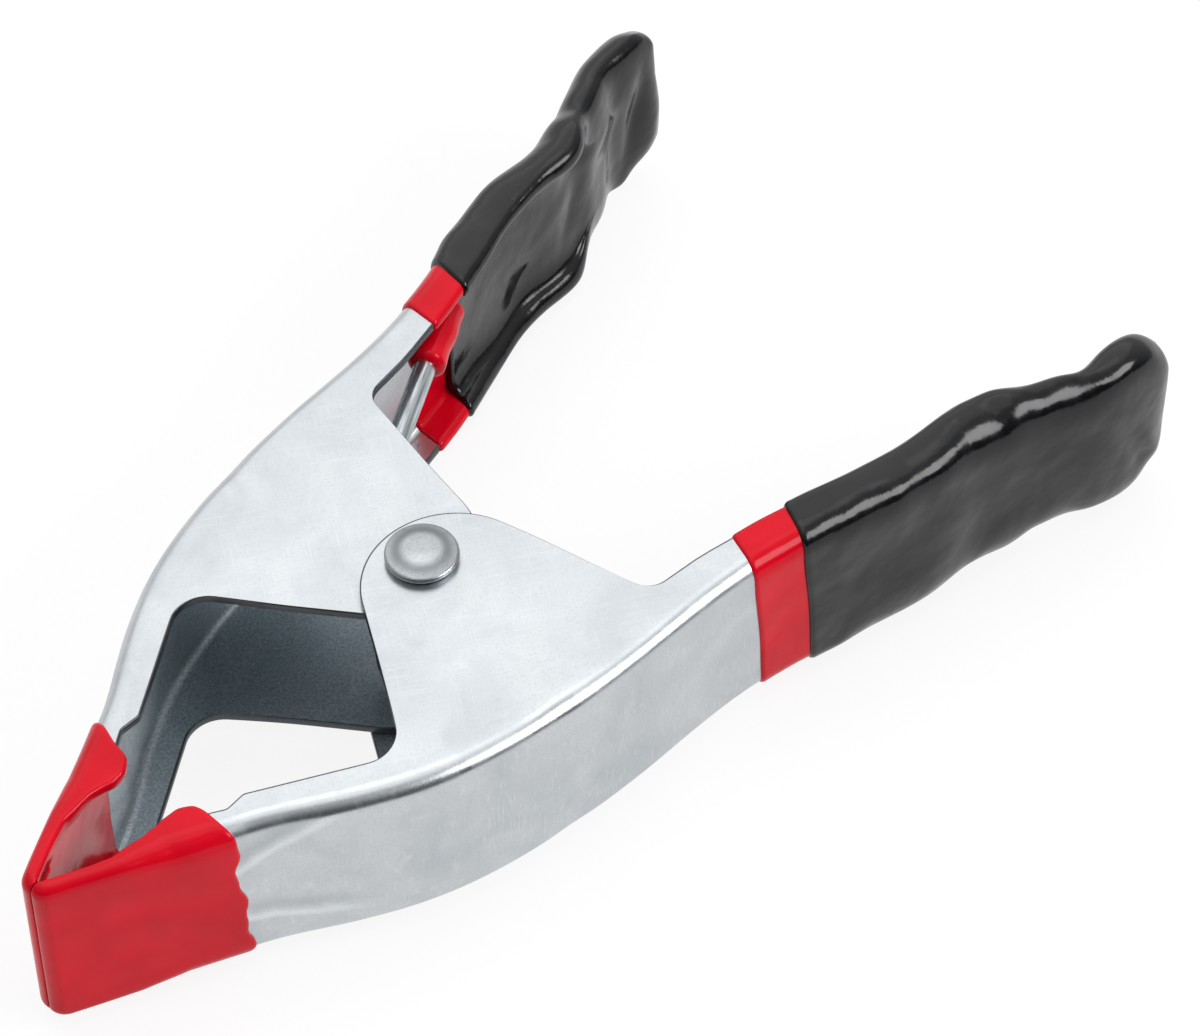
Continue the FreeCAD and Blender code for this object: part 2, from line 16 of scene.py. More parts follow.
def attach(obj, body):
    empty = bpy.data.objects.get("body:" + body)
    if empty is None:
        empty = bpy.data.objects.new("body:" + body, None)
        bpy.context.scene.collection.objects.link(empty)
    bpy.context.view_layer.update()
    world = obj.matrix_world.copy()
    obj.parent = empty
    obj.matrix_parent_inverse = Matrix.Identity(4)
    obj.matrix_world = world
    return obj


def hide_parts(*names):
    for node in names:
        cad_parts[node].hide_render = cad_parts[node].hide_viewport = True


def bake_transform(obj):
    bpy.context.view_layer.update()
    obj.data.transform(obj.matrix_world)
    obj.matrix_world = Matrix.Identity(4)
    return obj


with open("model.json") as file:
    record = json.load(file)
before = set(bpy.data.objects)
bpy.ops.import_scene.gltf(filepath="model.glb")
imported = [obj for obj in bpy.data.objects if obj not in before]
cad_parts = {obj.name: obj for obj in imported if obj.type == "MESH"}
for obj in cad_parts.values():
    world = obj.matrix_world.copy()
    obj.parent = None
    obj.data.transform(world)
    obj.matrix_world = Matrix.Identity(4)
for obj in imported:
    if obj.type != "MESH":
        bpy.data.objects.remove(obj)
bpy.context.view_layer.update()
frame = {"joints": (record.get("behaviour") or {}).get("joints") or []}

MM = 0.001
PIVOT = next(joint for joint in frame["joints"] if joint["name"] == "jaw_pivot")["pos_m"]
MID_HEIGHT = PIVOT[2] / MM

# The pressed arms, in millimetres, with the rivet's axis at 0
SHEET = 1.2
BEND = 2.4
HALF_WIDTH = 12.5
JAW_SLOPE = math.radians(26.6)
JAW_TIP = (-65.3, 1.945)
JAW_CORNER = 1.2
KNEE_X = -43.0
BODY_RISE = 29.7
HANDLE_RISE = 38.5
TONGUE_RISE = 43.6
HANDLE_REACH = 84.0
CHEEKS_END = 67.0
TONGUE_HALF = 10.3
TONGUE_CORNER = 5.0
SHOULDER_RUN = 4.0
PRESS_FOLDS = ((5.0, 0.25), (-5.5, -0.6))

# The cheeks' free edge
EDGE_LIP = 0.3
EDGE_ROUND = 0.25
EDGE_SPACING = 0.7
FLAT_RUN = 8.3
JAW_LIP_RISE = 4.9
NOTCH_RUN = 25.3
NOTCH_RISE = 8.3
THROAT_RISE = 18.8
NECK_RISE = 24.0
EAR_MIDDLE = np.array([-0.4, 5.8])
EAR_RADIUS = 11.6
EAR_SLOPES = (math.radians(56.0), math.radians(78.0))
EAR_SPAN = (-30.0, 22.0)
EAR_OFFSET = 0.675
JOGGLE = (6.5, 21.0)

# The rivet and the spring
HOLE_RADIUS = 3.245
SHANK = 3.17
WIRE_RADIUS = 1.5
WIRE_FACES = 28
COIL_RADIUS = 5.0
COIL_PITCH = 3.05

# Mesh points closer than this, in millimetres, become one
SAME_POINT = 2e-5
# The point of a dip's ring where its lip ends and its inside starts
LIP_END = 35

# The dipped vinyl. Where a size differs by arm, 1 is the inner arm and -1 the outer one. Where it
# runs along the arm, each entry is a place and the size there.
BURIED = 0.12
JAW_COAT = 0.5
JAW_END = -66.7
JAW_ROUND = 1.7
JAWS_MEET = 0.08
JAW_DIP = -45.0
BASE_COAT = 0.42
BASE_START = {1: 30.3, -1: 28.3}
GRIP_START = {1: 38.2, -1: 35.8}
GRIP_END = {1: 90.4, -1: 92.9}
GRIP_TIP_ROUND = 3.2
GRIP_CORNER = {1: 5.5, -1: 8.5}
GRIP_POOL = 1.1
GRIP_CREASE = {1: 1.4, -1: 4.4}
GRIP_SWELL = {1: 0.7, -1: 0.0}
GRIP_LIP = {1: 3.3, -1: 2.3}
TIP_LEAN = {1: 0.22, -1: -0.07}
TIP_SKEW = {1: 1.0, -1: 0.0}
TIP_FLARE = {1: 0.3, -1: 0.0}
FLOW_PASSES = 24
GRIP_TOP = ((38.0, 0.9), (46.0, 1.0), (53.0, 1.25), (61.6, 1.55), (65.6, 2.1), (69.0, 2.1), (72.4, 2.1),
            (76.0, 2.3), (79.0, 2.8), (83.0, 3.0), (86.0, 2.8), (90.0, 2.1), (93.0, 1.6))
GRIP_DEPTH = ((38.0, 7.3), (46.0, 7.3), (53.3, 7.4), (61.6, 7.3), (65.6, 7.5), (69.1, 6.3), (72.4, 5.8),
              (75.7, 5.8), (79.1, 5.7), (83.2, 6.6), (88.0, 6.8), (93.0, 6.4))
GRIP_SIDE = ((38.0, 0.95), (60.0, 1.1), (65.0, 1.4), (68.5, 2.2), (73.0, 2.9), (80.0, 3.0), (90.0, 3.1))

FLOOR_GLOW = 0.86
FLOOR_MIRRORED = 0.86

CAMERA_AZIMUTH = -47.852
CAMERA_ELEVATION = 49.446
CAMERA_ROLL = -0.362
CAMERA_LENS = 138.01
CAMERA_AIM = (27.74, -4.50, 14.975)
CAMERA_DISTANCE = 0.58806


def hex_colour(text):
    """An opaque sRGB hex colour as linear values."""
    values = [int(text[i:i + 2], 16) / 255 for i in (1, 3, 5)]
    return tuple(v / 12.92 if v <= 0.04045 else ((v + 0.055) / 1.055) ** 2.4 for v in values) + (1.0,)


def smooth_step(low, high, value):
    """0 up to the low value, 1 from the high one, and smooth between."""
    share = np.clip((np.asarray(value, float) - low) / (high - low), 0.0, 1.0)
    return share * share * (3 - 2 * share)


def eased(share, run, low, high, low_slope, high_slope):
    """What lies at a share of a run between two values that have the given slopes."""
    return ((1 + 2 * share) * (1 - share) ** 2 * low + share * (1 - share) ** 2 * run * low_slope
            + share ** 2 * (3 - 2 * share) * high + share ** 2 * (share - 1) * run * high_slope)


def curve_through(points, spacing):
    """A smooth curve through the points, as dense points about one spacing apart."""
    points = np.array(points, float)
    runs = np.linalg.norm(np.diff(points, axis=0), axis=1)
    at = np.concatenate([[0.0], np.cumsum(runs)])
    count = len(points)
    system = np.zeros((count, count))
    right = np.zeros((count, points.shape[1]))
    for i in range(1, count - 1):
        system[i, i - 1] = runs[i]
        system[i, i] = 2 * (runs[i - 1] + runs[i])
        system[i, i + 1] = runs[i - 1]
        right[i] = 3 * (runs[i] / runs[i - 1] * (points[i] - points[i - 1])
                        + runs[i - 1] / runs[i] * (points[i + 1] - points[i]))
    system[0, 0] = system[-1, -1] = 1.0
    right[0] = (points[1] - points[0]) / runs[0]
    right[-1] = (points[-1] - points[-2]) / runs[-1]
    slopes = np.linalg.solve(system, right)
    wanted = np.linspace(0.0, at[-1], max(2, int(math.ceil(at[-1] / spacing)) + 1))
    span = np.clip(np.searchsorted(at, wanted, side="right") - 1, 0, count - 2)
    share = ((wanted - at[span]) / runs[span])[:, None]
    return eased(share, runs[span][:, None], points[span], points[span + 1], slopes[span], slopes[span + 1])


def blended(keys, at):
    """A value that runs smoothly through (position, value) keys."""
    keys = np.array(keys, float)
    at = np.asarray(at, float)
    span = np.clip(np.searchsorted(keys[:, 0], at, side="right") - 1, 0, len(keys) - 2)
    slope = np.gradient(keys[:, 1], keys[:, 0])
    low, high = keys[span], keys[span + 1]
    run = high[..., 0] - low[..., 0]
    share = np.clip((at - low[..., 0]) / run, 0.0, 1.0)
    return eased(share, run, low[..., 1], high[..., 1], slope[span], slope[span + 1])


def on_jaw(x, depth=0.0):
    """A point on the flat jaw's outer face, or at a depth below it."""
    return (x, JAW_TIP[1] + (x - JAW_TIP[0]) * math.tan(JAW_SLOPE) - depth / math.cos(JAW_SLOPE))


def spine_line():
    """The outer face of the spine, from the jaw's tip to the tongue's end."""
    knee_x, knee_y = on_jaw(KNEE_X)
    climb = BODY_RISE - knee_y
    lift = HANDLE_RISE - BODY_RISE
    flare = TONGUE_RISE - HANDLE_RISE
    shape = [(back * knee_x, knee_y + rise * climb)
             for back, rise in ((1.0, 0.0), (0.80, 0.33), (0.56, 0.67), (0.28, 0.89), (0.0, 1.0))]
    for share, rise in ((0.16, 0.09), (0.29, 0.17), (0.41, 0.38), (0.54, 0.72), (0.67, 0.93), (0.77, 1.0)):
        shape.append((share * HANDLE_REACH, BODY_RISE + rise * lift))
    shape += [(0.90 * HANDLE_REACH, HANDLE_RISE + 0.66 * flare), (HANDLE_REACH, TONGUE_RISE)]
    plate = [on_jaw(x) for x in np.arange(JAW_TIP[0], KNEE_X - 1.0, 1.0)]
    return np.vstack([plate, curve_through([on_jaw(KNEE_X - 0.5)] + shape, 0.25)])


class Spine:
    """Points and outward normals of the spine's outer face, looked up by x."""

    def __init__(self):
        self.line = spine_line()
        along = np.gradient(self.line, axis=0)
        along /= np.linalg.norm(along, axis=1)[:, None]
        self.normal = np.stack([-along[:, 1], along[:, 0]], axis=1)

    def at(self, x):
        """Point and outward normal at x. Past both ends the spine runs on straight."""
        x = np.asarray(x, float)
        inside = np.clip(x, JAW_TIP[0], HANDLE_REACH)
        point = np.stack([inside, np.interp(inside, self.line[:, 0], self.line[:, 1])], axis=-1)
        normal = np.stack([np.interp(inside, self.line[:, 0], self.normal[:, k]) for k in (0, 1)], axis=-1)
        normal /= np.linalg.norm(normal, axis=-1)[..., None]
        ahead = np.stack([normal[..., 1], -normal[..., 0]], axis=-1)
        return point + ahead * ((x - inside) / ahead[..., 0])[..., None], normal


SPINE = Spine()


def rounded_path(corners, spacing):
    """Straight runs with arcs in their corners, as dense points. Each corner is x, y and its radius."""
    path = [np.array([corners[0][:2]], float)]
    for before, corner, after in zip(corners, corners[1:], corners[2:]):
        spot = np.array(corner[:2], float)
        back = np.array(before[:2]) - spot
        ahead = np.array(after[:2]) - spot
        back /= np.linalg.norm(back)
        ahead /= np.linalg.norm(ahead)
        half = math.acos(np.clip(back @ ahead, -1, 1)) / 2
        radius = corner[2]
        setback = radius / math.tan(half)
        centre = spot + (back + ahead) / np.linalg.norm(back + ahead) * radius / math.sin(half)
        first = spot + back * setback - centre
        last = spot + ahead * setback - centre
        turn = math.pi - 2 * half
        count = max(3, int(math.ceil(radius * turn / spacing)) + 1)
        share = np.linspace(0.0, 1.0, count)[:, None]
        arc = centre + (np.sin((1 - share) * turn) * first + np.sin(share * turn) * last) / math.sin(turn)
        path += [straight(path[-1][-1], arc[0], spacing), arc[1:]]
    path.append(straight(path[-1][-1], np.array(corners[-1][:2], float), spacing))
    return np.vstack(path)


def straight(start, end, spacing):
    """Points from start to end, without the start."""
    count = max(1, int(math.ceil(np.linalg.norm(end - start) / spacing)))
    share = np.linspace(0.0, 1.0, count + 1)[1:, None]
    return start + (end - start) * share


def free_edge():
    """The free edge of an arm's cheek from the jaw's tip to the tongue's end.

    The ear is a round about the rivet between two straight sides, whose slopes are lead and trail.
    """
    lead, trail = EAR_SLOPES
    foot = EAR_MIDDLE + EAR_RADIUS * np.array([-math.sin(lead), -math.cos(lead)])
    heel = EAR_MIDDLE + EAR_RADIUS * np.array([math.sin(trail), -math.cos(trail)])
    along_lead = np.array([math.cos(lead), -math.sin(lead)])
    along_trail = np.array([-math.cos(trail), -math.sin(trail)])
    reach = np.linalg.solve(np.stack([along_lead, -along_trail], axis=1), heel - foot)
    point = foot + along_lead * reach[0]
    throat = foot - along_lead * (THROAT_RISE - foot[1]) / math.sin(lead)
    neck = heel - along_trail * (NECK_RISE - heel[1]) / math.sin(trail)
    notch = JAW_TIP[0] + NOTCH_RUN
    slope = (throat[1] - NOTCH_RISE) / (throat[0] - notch)
    plate = SHEET + EDGE_LIP
    flat_end = JAW_TIP[0] + FLAT_RUN
    corners = [
        (*on_jaw(JAW_TIP[0], plate), 0.0),
        (*on_jaw(flat_end, plate), 2.0),
        (flat_end + 4.5, JAW_LIP_RISE, 2.5),
        (flat_end + 8.0, JAW_LIP_RISE, 2.0),
        (notch - 6.0, NOTCH_RISE - 6.0 * slope + 2.4, 1.5),
        (notch - 3.0, NOTCH_RISE - 3.0 * slope + 2.4, 1.0),
        (notch - 0.1, NOTCH_RISE + 0.4, 0.9),
        (throat[0], throat[1], 4.7),
        (point[0], point[1], EAR_RADIUS),
        (neck[0], neck[1], 3.0),
        (0.27 * HANDLE_REACH, 24.8, 8.0),
    ]
    front = rounded_path(corners + [(0.30 * HANDLE_REACH, 25.25, 0.0)], EDGE_SPACING)
    handle = curve_through([front[-1], (0.42 * HANDLE_REACH, 27.5), (0.57 * HANDLE_REACH, 31.5),
                            (0.68 * HANDLE_REACH, 33.5), (CHEEKS_END - 3.0, 34.0)], EDGE_SPACING)
    point, normal = SPINE.at(np.arange(CHEEKS_END, HANDLE_REACH + 0.1, 1.0))
    tongue = point - normal * plate
    ramp = straight(handle[-1], tongue[0], EDGE_SPACING)
    return np.vstack([front, handle[1:], ramp, tongue[1:]])


EDGE = free_edge()


def depth_to_edge(point, normal):
    """How far the free edge lies below the spine's outer face, along the spine's normal."""
    depths = []
    for spot, out in zip(point, normal):
        offset = EDGE - spot
        across = offset @ np.array([out[1], -out[0]])
        below = -(offset @ out)
        crossing = np.nonzero((across[:-1] <= 0) & (across[1:] > 0) & (below[:-1] > 0))[0]
        if len(crossing) == 0:
            depths.append(SHEET + EDGE_LIP)
            continue
        i = crossing[np.argmin(below[crossing])]
        share = -across[i] / (across[i + 1] - across[i])
        depths.append(below[i] + share * (below[i + 1] - below[i]))
    return np.array(depths)


def brought_in(wide, past, radius):
    """Half widths brought in round a corner, by how far past its start they lie."""
    past = np.clip(past, 0.0, radius)
    return wide - radius + np.sqrt(np.maximum(radius ** 2 - past ** 2, 0.0))


def half_width(x, grow=0.0):
    """Half the arm's width at x, with rounded corners at both ends, grown outwards by a coat."""
    wide = np.where(x < CHEEKS_END, HALF_WIDTH,
                    np.interp(x, [CHEEKS_END, CHEEKS_END + SHOULDER_RUN], [HALF_WIDTH, TONGUE_HALF])) + grow
    for end, way, corner in ((JAW_TIP[0], -1, JAW_CORNER), (HANDLE_REACH, 1, TONGUE_CORNER)):
        wide = brought_in(wide, (x - end) * way + corner, corner + grow)
    return wide


def ring_faces(count, around):
    """Faces that join closed rings of points, each to the next."""
    this = np.arange(around)
    after = (this + 1) % around
    faces = []
    for low in range(0, (count - 1) * around, around):
        high = low + around
        faces += np.stack([low + this, low + after, high + after, high + this], axis=1).tolist()
    return faces


def make_piece(name, rings, material, side, marks=None):
    """A solid from closed rings of points about the middle plane. Side -1 turns it over."""
    stations, around, _ = rings.shape
    points = rings.reshape(-1, 3) * np.array([1.0, side, side])
    points = (points + np.array([0.0, 0.0, MID_HEIGHT])) * MM
    last = (stations - 1) * around
    ends = [list(range(around)), list(range(last + around - 1, last - 1, -1))]
    return finished(name, points, ring_faces(stations, around) + ends, material, marks)


def in_scene(name, data):
    """A new object in the scene."""
    thing = bpy.data.objects.new(name, data)
    bpy.context.scene.collection.objects.link(thing)
    return thing


def finished(name, points, faces, material, marks=None):
    """A smooth closed mesh with outward faces. Marks are numbers held at its points for its material."""
    mesh = bpy.data.meshes.new(name)
    mesh.from_pydata(points.tolist(), [], faces)
    for mark, values in (marks or {}).items():
        field = mesh.attributes.new(mark, "FLOAT", "POINT")
        field.data.foreach_set("value", np.asarray(values, np.float32).ravel())
    work = bmesh.new()
    work.from_mesh(mesh)
    bmesh.ops.remove_doubles(work, verts=work.verts, dist=SAME_POINT * MM)
    bmesh.ops.recalc_face_normals(work, faces=work.faces)
    for face in work.faces:
        face.smooth = True
    work.to_mesh(mesh)
    work.free()
    mesh.materials.append(material)
    return in_scene(name, mesh)


def placed(piece, node, body):
    """Puts a piece in the place of a CAD node, which it hides, on its body."""
    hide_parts(node)
    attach(piece, body)


def bell(value, centre, size):
    """1 at the centre, falling off smoothly over the size."""
    return np.exp(-((np.asarray(value) - centre) / size) ** 2)


def press_folds(x, across):
    """Two faint folds that fan out from the flat jaw into the channel: 1 on a ridge, below 0 beside it."""
    # the arm's material also paints a highlight on each ridge and shade beside it from these folds
    folds = 0.0
    for z_start, z_slope in PRESS_FOLDS:
        beside = (across - z_start - z_slope * (x + 44.0)) / math.hypot(1.0, z_slope)
        folds = folds + bell(beside, 0.0, 0.7) - 0.6 * bell(beside, -1.8, 1.3)
    return folds * (1 - smooth_step(-38.0, -29.0, x))


def arm_dents(x, across):
    """How far the spine stands proud of its plain curve: pressing marks near the jaw and the throat."""
    flat = 1 - smooth_step(HALF_WIDTH - 3.5, HALF_WIDTH - 1.0, np.abs(across))
    creases = -0.16 * bell(x + 0.10 * across, -41.0, 1.1) + 0.12 * bell(x - 0.15 * across, -38.2, 1.4)
    creases = creases - 0.10 * bell(x + 0.3 * across, -33.5, 2.2)
    creases = creases + 0.15 * press_folds(x, across)
    waves = 0.10 * bell(x, -22.0, 5.0) - 0.12 * bell(x, -9.0, 4.0) + 0.08 * bell(x, 22.0, 5.0)
    return flat * (creases + waves)


def arm_rings(side):
    """Closed rings round the steel of one arm, with marks for its inside and its cut edges."""
    runs = np.concatenate([[0.0], np.cumsum(np.linalg.norm(np.diff(EDGE, axis=0), axis=1))])
    gaps = np.linalg.norm(EDGE[:, None, :] - SPINE.line[None, ::2, :], axis=2)
    foot = SPINE.line[::2, 0][np.argmin(gaps, axis=1)]
    start, stop = (np.argmax(EDGE[:, 0] > x) for x in EAR_SPAN)
    foot[start:stop] = np.interp(runs[start:stop], [runs[start], runs[stop]], [foot[start], foot[stop]])
    foot = np.maximum.accumulate(foot)
    for _ in range(6):
        foot[1:-1] = (foot[:-2] + 2 * foot[1:-1] + foot[2:]) / 4
    foot[0], foot[-1] = JAW_TIP[0], HANDLE_REACH
    point, normal = SPINE.at(foot)
    wide = half_width(foot)
    depth = np.maximum(np.sum((point - EDGE) * normal, axis=1), SHEET + EDGE_LIP)
    bend = BEND + 0.35 * bell(foot, -5.0, 3.0) + 0.25 * bell(foot, -30.0, 8.0) - 0.2 * bell(foot, 8.0, 6.0)
    bend = np.minimum(bend, depth - 0.3)
    root = point - normal * bend[:, None]
    reach = EDGE - root
    length = np.linalg.norm(reach, axis=1)
    reach /= length[:, None]
    outer, inner = [], []

    def add(target, flat, height):
        """Adds one line of points along the arm at a height from its middle plane."""
        target.append(np.concatenate([flat, np.broadcast_to(height, foot.shape)[:, None]], axis=1))

    for share in np.linspace(0.0, 1.0, 19)[:-1]:
        add(outer, point, share * (wide - bend))
        add(inner, point - normal * SHEET, share * (wide - bend))
    tight = np.maximum(bend - SHEET, 0.02)
    for turn in np.linspace(0.0, math.pi / 2, 8):
        drop = bend * (1 - math.cos(turn))
        add(outer, point - normal * drop[:, None], wide - bend + bend * math.sin(turn))
        drop = bend - tight * math.cos(turn)
        add(inner, point - normal * drop[:, None], wide - bend + tight * math.sin(turn))
    flat = np.maximum(length - EDGE_ROUND - 0.1, 0.02)
    for share in np.linspace(0.0, 1.0, 25)[1:]:
        add(outer, root + reach * (share * flat)[:, None], wide)
        add(inner, root + reach * (share * flat)[:, None], wide - SHEET)
    for turn in np.linspace(0.0, math.pi / 2, 5):
        drop = length - EDGE_ROUND * (1 - math.sin(turn))
        inset = EDGE_ROUND * (1 - math.cos(turn))
        add(outer, root + reach * drop[:, None], wide - inset)
        add(inner, root + reach * drop[:, None], wide - SHEET + inset)
    half = np.stack(outer + inner[::-1], axis=1)
    # marks[0] places the painted shade inside the channel, marks[1] the cut edges
    marks = np.zeros((2, half.shape[1]))
    marks[0, len(outer):] = 1.0
    marks[1, len(outer) - 5:len(outer) + 5] = 1.0
    offset = -side * EAR_OFFSET * (1 - smooth_step(*JOGGLE, half[..., 1]))
    offset = offset * smooth_step(-26.0, -22.0, half[..., 0])
    half[..., 2] += offset * smooth_step(HALF_WIDTH - 4.0, HALF_WIDTH - 2.0, half[..., 2])
    whole = np.concatenate([half, half[:, -2:0:-1] * np.array([1.0, 1.0, -1.0])], axis=1)
    marks = np.concatenate([marks, marks[:, -2:0:-1]], axis=1)
    whole[..., :2] += normal[:, None, :] * arm_dents(foot[:, None], whole[..., 2])[..., None]
    inside, edge = (np.broadcast_to(mark, whole.shape[:2]) for mark in marks)
    on_face = (1 - inside) * (np.abs(whole[..., 2]) < HALF_WIDTH - 1.0)
    # folds sets a painted highlight on each fold's ridge and painted shade beside it, on the outer faces
    folds = press_folds(foot[:, None], whole[..., 2]) * on_face
    # the painted shade inside lightens towards the handle end, where the channel is open to more light
    inside = inside * (1 - 0.7 * smooth_step(2.0, 12.0, whole[..., 0]))
    return whole, {"inside": inside, "cut_edge": edge, "folds": folds}


def bored(piece, radius):
    """Cuts the rivet's hole through both ears."""
    work = bmesh.new()
    bmesh.ops.create_cone(work, cap_ends=True, segments=48, radius1=radius * MM, radius2=radius * MM,
                          depth=60 * MM)
    bmesh.ops.translate(work, verts=work.verts, vec=(0.0, 0.0, MID_HEIGHT * MM))
    mesh = bpy.data.meshes.new("rivet_hole")
    work.to_mesh(mesh)
    work.free()
    drill = in_scene("rivet_hole", mesh)
    cut = piece.modifiers.new("rivet_hole", "BOOLEAN")
    cut.operation = "DIFFERENCE"
    cut.solver = "EXACT"
    cut.object = drill
    settle(piece)
    bpy.data.objects.remove(drill)
    bpy.data.meshes.remove(mesh)


def settle(piece):
    """Turns what a piece's modifiers make into its plain mesh."""
    bpy.context.view_layer.update()
    made = bpy.data.meshes.new_from_object(piece.evaluated_get(bpy.context.evaluated_depsgraph_get()))
    made.name = piece.name
    piece.modifiers.clear()
    old = piece.data
    piece.data = made
    bpy.data.meshes.remove(old)


def vinyl_rings(x, wide, top, web, low, wall, corner, pooled, shift, lip_limit=9.0, fillet=1.0):
    """Closed rings round a dipped end, from heights above the spine's outer face at each x.

    Wide is half the dip's width, top the skin over the spine, web the skin under it, low the lip
    below the cheek's free edge and wall the whole thickness of a cheek. Corner rounds the outer
    bends, and pooled the inner ones, where vinyl gathers. Shift moves a ring's points along the arm.
    """
    point, normal = SPINE.at(x)
    web = np.minimum(web, top - 0.05)
    low = np.minimum(low, web)
    room = top - low
    corner = np.minimum(corner, np.minimum(room * 0.66, wide * 0.9))
    lip = np.minimum(np.minimum(wall * 0.49, lip_limit), room - corner)
    inner_wide = np.maximum(wide - wall, 0.6)
    drop = web - low
    inner_lip = np.clip(wall * 0.49, 0.0, drop * 0.5)
    pooled = np.clip(pooled, 0.0, np.minimum(drop - inner_lip, inner_wide * 0.5))
    spread = np.minimum(pooled * fillet, inner_wide * 0.7)
    profile = [(share * (wide - corner), top) for share in np.linspace(0.0, 1.0, 11)[:-1]]
    turns = np.linspace(0.0, math.pi / 2, 9)
    profile += [(wide - corner * (1 - math.sin(a)), top - corner * (1 - math.cos(a))) for a in turns]
    shares = np.linspace(0.0, 1.0, 9)[1:-1]
    profile += [(wide, (top - corner) * (1 - s) + (low + lip) * s) for s in shares]
    profile += [(wide - lip * (1 - math.cos(a)), low + lip * (1 - math.sin(a))) for a in turns]
    profile += [(inner_wide + inner_lip * (1 - math.sin(a)), low + inner_lip * (1 - math.cos(a)))
                for a in turns[::2]]
    profile += [(inner_wide, (low + inner_lip) * (1 - s) + (web - pooled) * s) for s in shares[::2]]
    profile += [(inner_wide - spread * (1 - math.cos(a)), web - pooled * (1 - math.sin(a))) for a in turns]
    profile += [((inner_wide - spread) * (1 - s), web) for s in np.linspace(0.0, 1.0, 8)[1:]]
    across = np.stack([np.broadcast_to(z, x.shape) for z, _ in profile], axis=1)
    height = np.stack([np.broadcast_to(h, x.shape) for _, h in profile], axis=1)
    across = np.concatenate([across, -across[:, -2:0:-1]], axis=1)
    height = np.concatenate([height, height[:, -2:0:-1]], axis=1)
    ahead = np.stack([normal[:, 1], -normal[:, 0]], axis=1)
    flat = point[:, None, :] + normal[:, None, :] * height[..., None]
    flat = flat + ahead[:, None, :] * shift(x[:, None], across, height)[..., None]
    return np.concatenate([flat, across[..., None]], axis=2)


def dip_stations(start, end, edge_is_low, tip_round, spacing=0.6):
    """Places for rings: close together at the dip's edge and round the far end."""
    near = np.array([0.0, 0.08, 0.18, 0.3, 0.45, 0.6, 0.8, 1.1, 1.5])
    turn = np.linspace(0.0, math.radians(87.0), 12)
    if edge_is_low:
        edge, tip = start + near, end - tip_round + tip_round * np.sin(turn)
        middle = np.arange(edge[-1] + spacing, tip[0] - 0.3 * spacing, spacing)
        return np.concatenate([edge, middle, tip])
    edge, tip = end - near[::-1], start + tip_round - tip_round * np.sin(turn[::-1])
    middle = np.arange(tip[-1] + spacing, edge[0] - 0.3 * spacing, spacing)
    return np.concatenate([tip, middle, edge])


def lumps(rings, features, ripple, ripple_size, seed, fade):
    """Moves a dipped skin's outer points out or in: placed lumps and folds, and a fine even ripple.

    Each feature is its middle, its three sizes, how far it leans and its height. Fade is where along
    the arm all this starts, and where it is whole.
    """
    centre = rings.mean(axis=1, keepdims=True)
    after = np.roll(rings, -1, axis=1) - np.roll(rings, 1, axis=1)
    along = np.gradient(rings, axis=0)
    out = np.cross(along, after)
    out /= np.maximum(np.linalg.norm(out, axis=2, keepdims=True), 1e-9)
    away = np.sum(out * (rings - centre), axis=2)
    out *= np.where(np.median(away) < 0, -1.0, 1.0)
    half = rings.shape[1] // 2
    into_channel = rings[:, half] - rings[:, 0]
    into_channel /= np.linalg.norm(into_channel, axis=1)[:, None]
    place = np.arange(rings.shape[1])
    inner = smooth_step(LIP_END - 2, LIP_END + 4, np.minimum(place, rings.shape[1] - place))[None, :, None]
    out = out * (1 - inner) + into_channel[:, None, :] * inner
    moved = np.zeros(rings.shape[:2])
    for spot, sizes, lean, height in features:
        offset = rings - np.array(spot)
        offset[..., 0] -= lean * offset[..., 2]
        moved += height * np.exp(-np.sum((offset / np.array(sizes)) ** 2, axis=2))
    spots = (rings + seed).reshape(-1, 3) / ripple_size
    waves = np.array([noise.noise(Vector(spot)) for spot in spots]).reshape(moved.shape)
    moved = (moved + ripple * waves) * smooth_step(*fade, rings[..., 0])
    return rings + out * moved[..., None]


def softened(rings, share, passes):
    """Rings evened out with their neighbours, as vinyl flows before it sets, where share is 1."""
    for _ in range(passes):
        around = (np.roll(rings, 1, axis=1) + np.roll(rings, -1, axis=1)) / 2
        along = rings.copy()
        along[1:-1] = (rings[:-2] + rings[2:]) / 2
        rings = rings + 0.5 * share[:, None, None] * ((around + along) / 2 - rings)
    return rings


def quarter_round(distance, run):
    """0 at an edge, rising in a quarter round to 1 a run away from it."""
    share = np.clip(np.asarray(distance, float) / run, 0.0, 1.0)
    return np.sqrt(1 - (1 - share) ** 2)


def pinched(top, web, low, share):
    """Heights drawn in to the middle of the skin over and under the spine, where a dipped end closes."""
    middle = (top + web) / 2
    return tuple(middle + (height - middle) * share for height in (top, web, low))


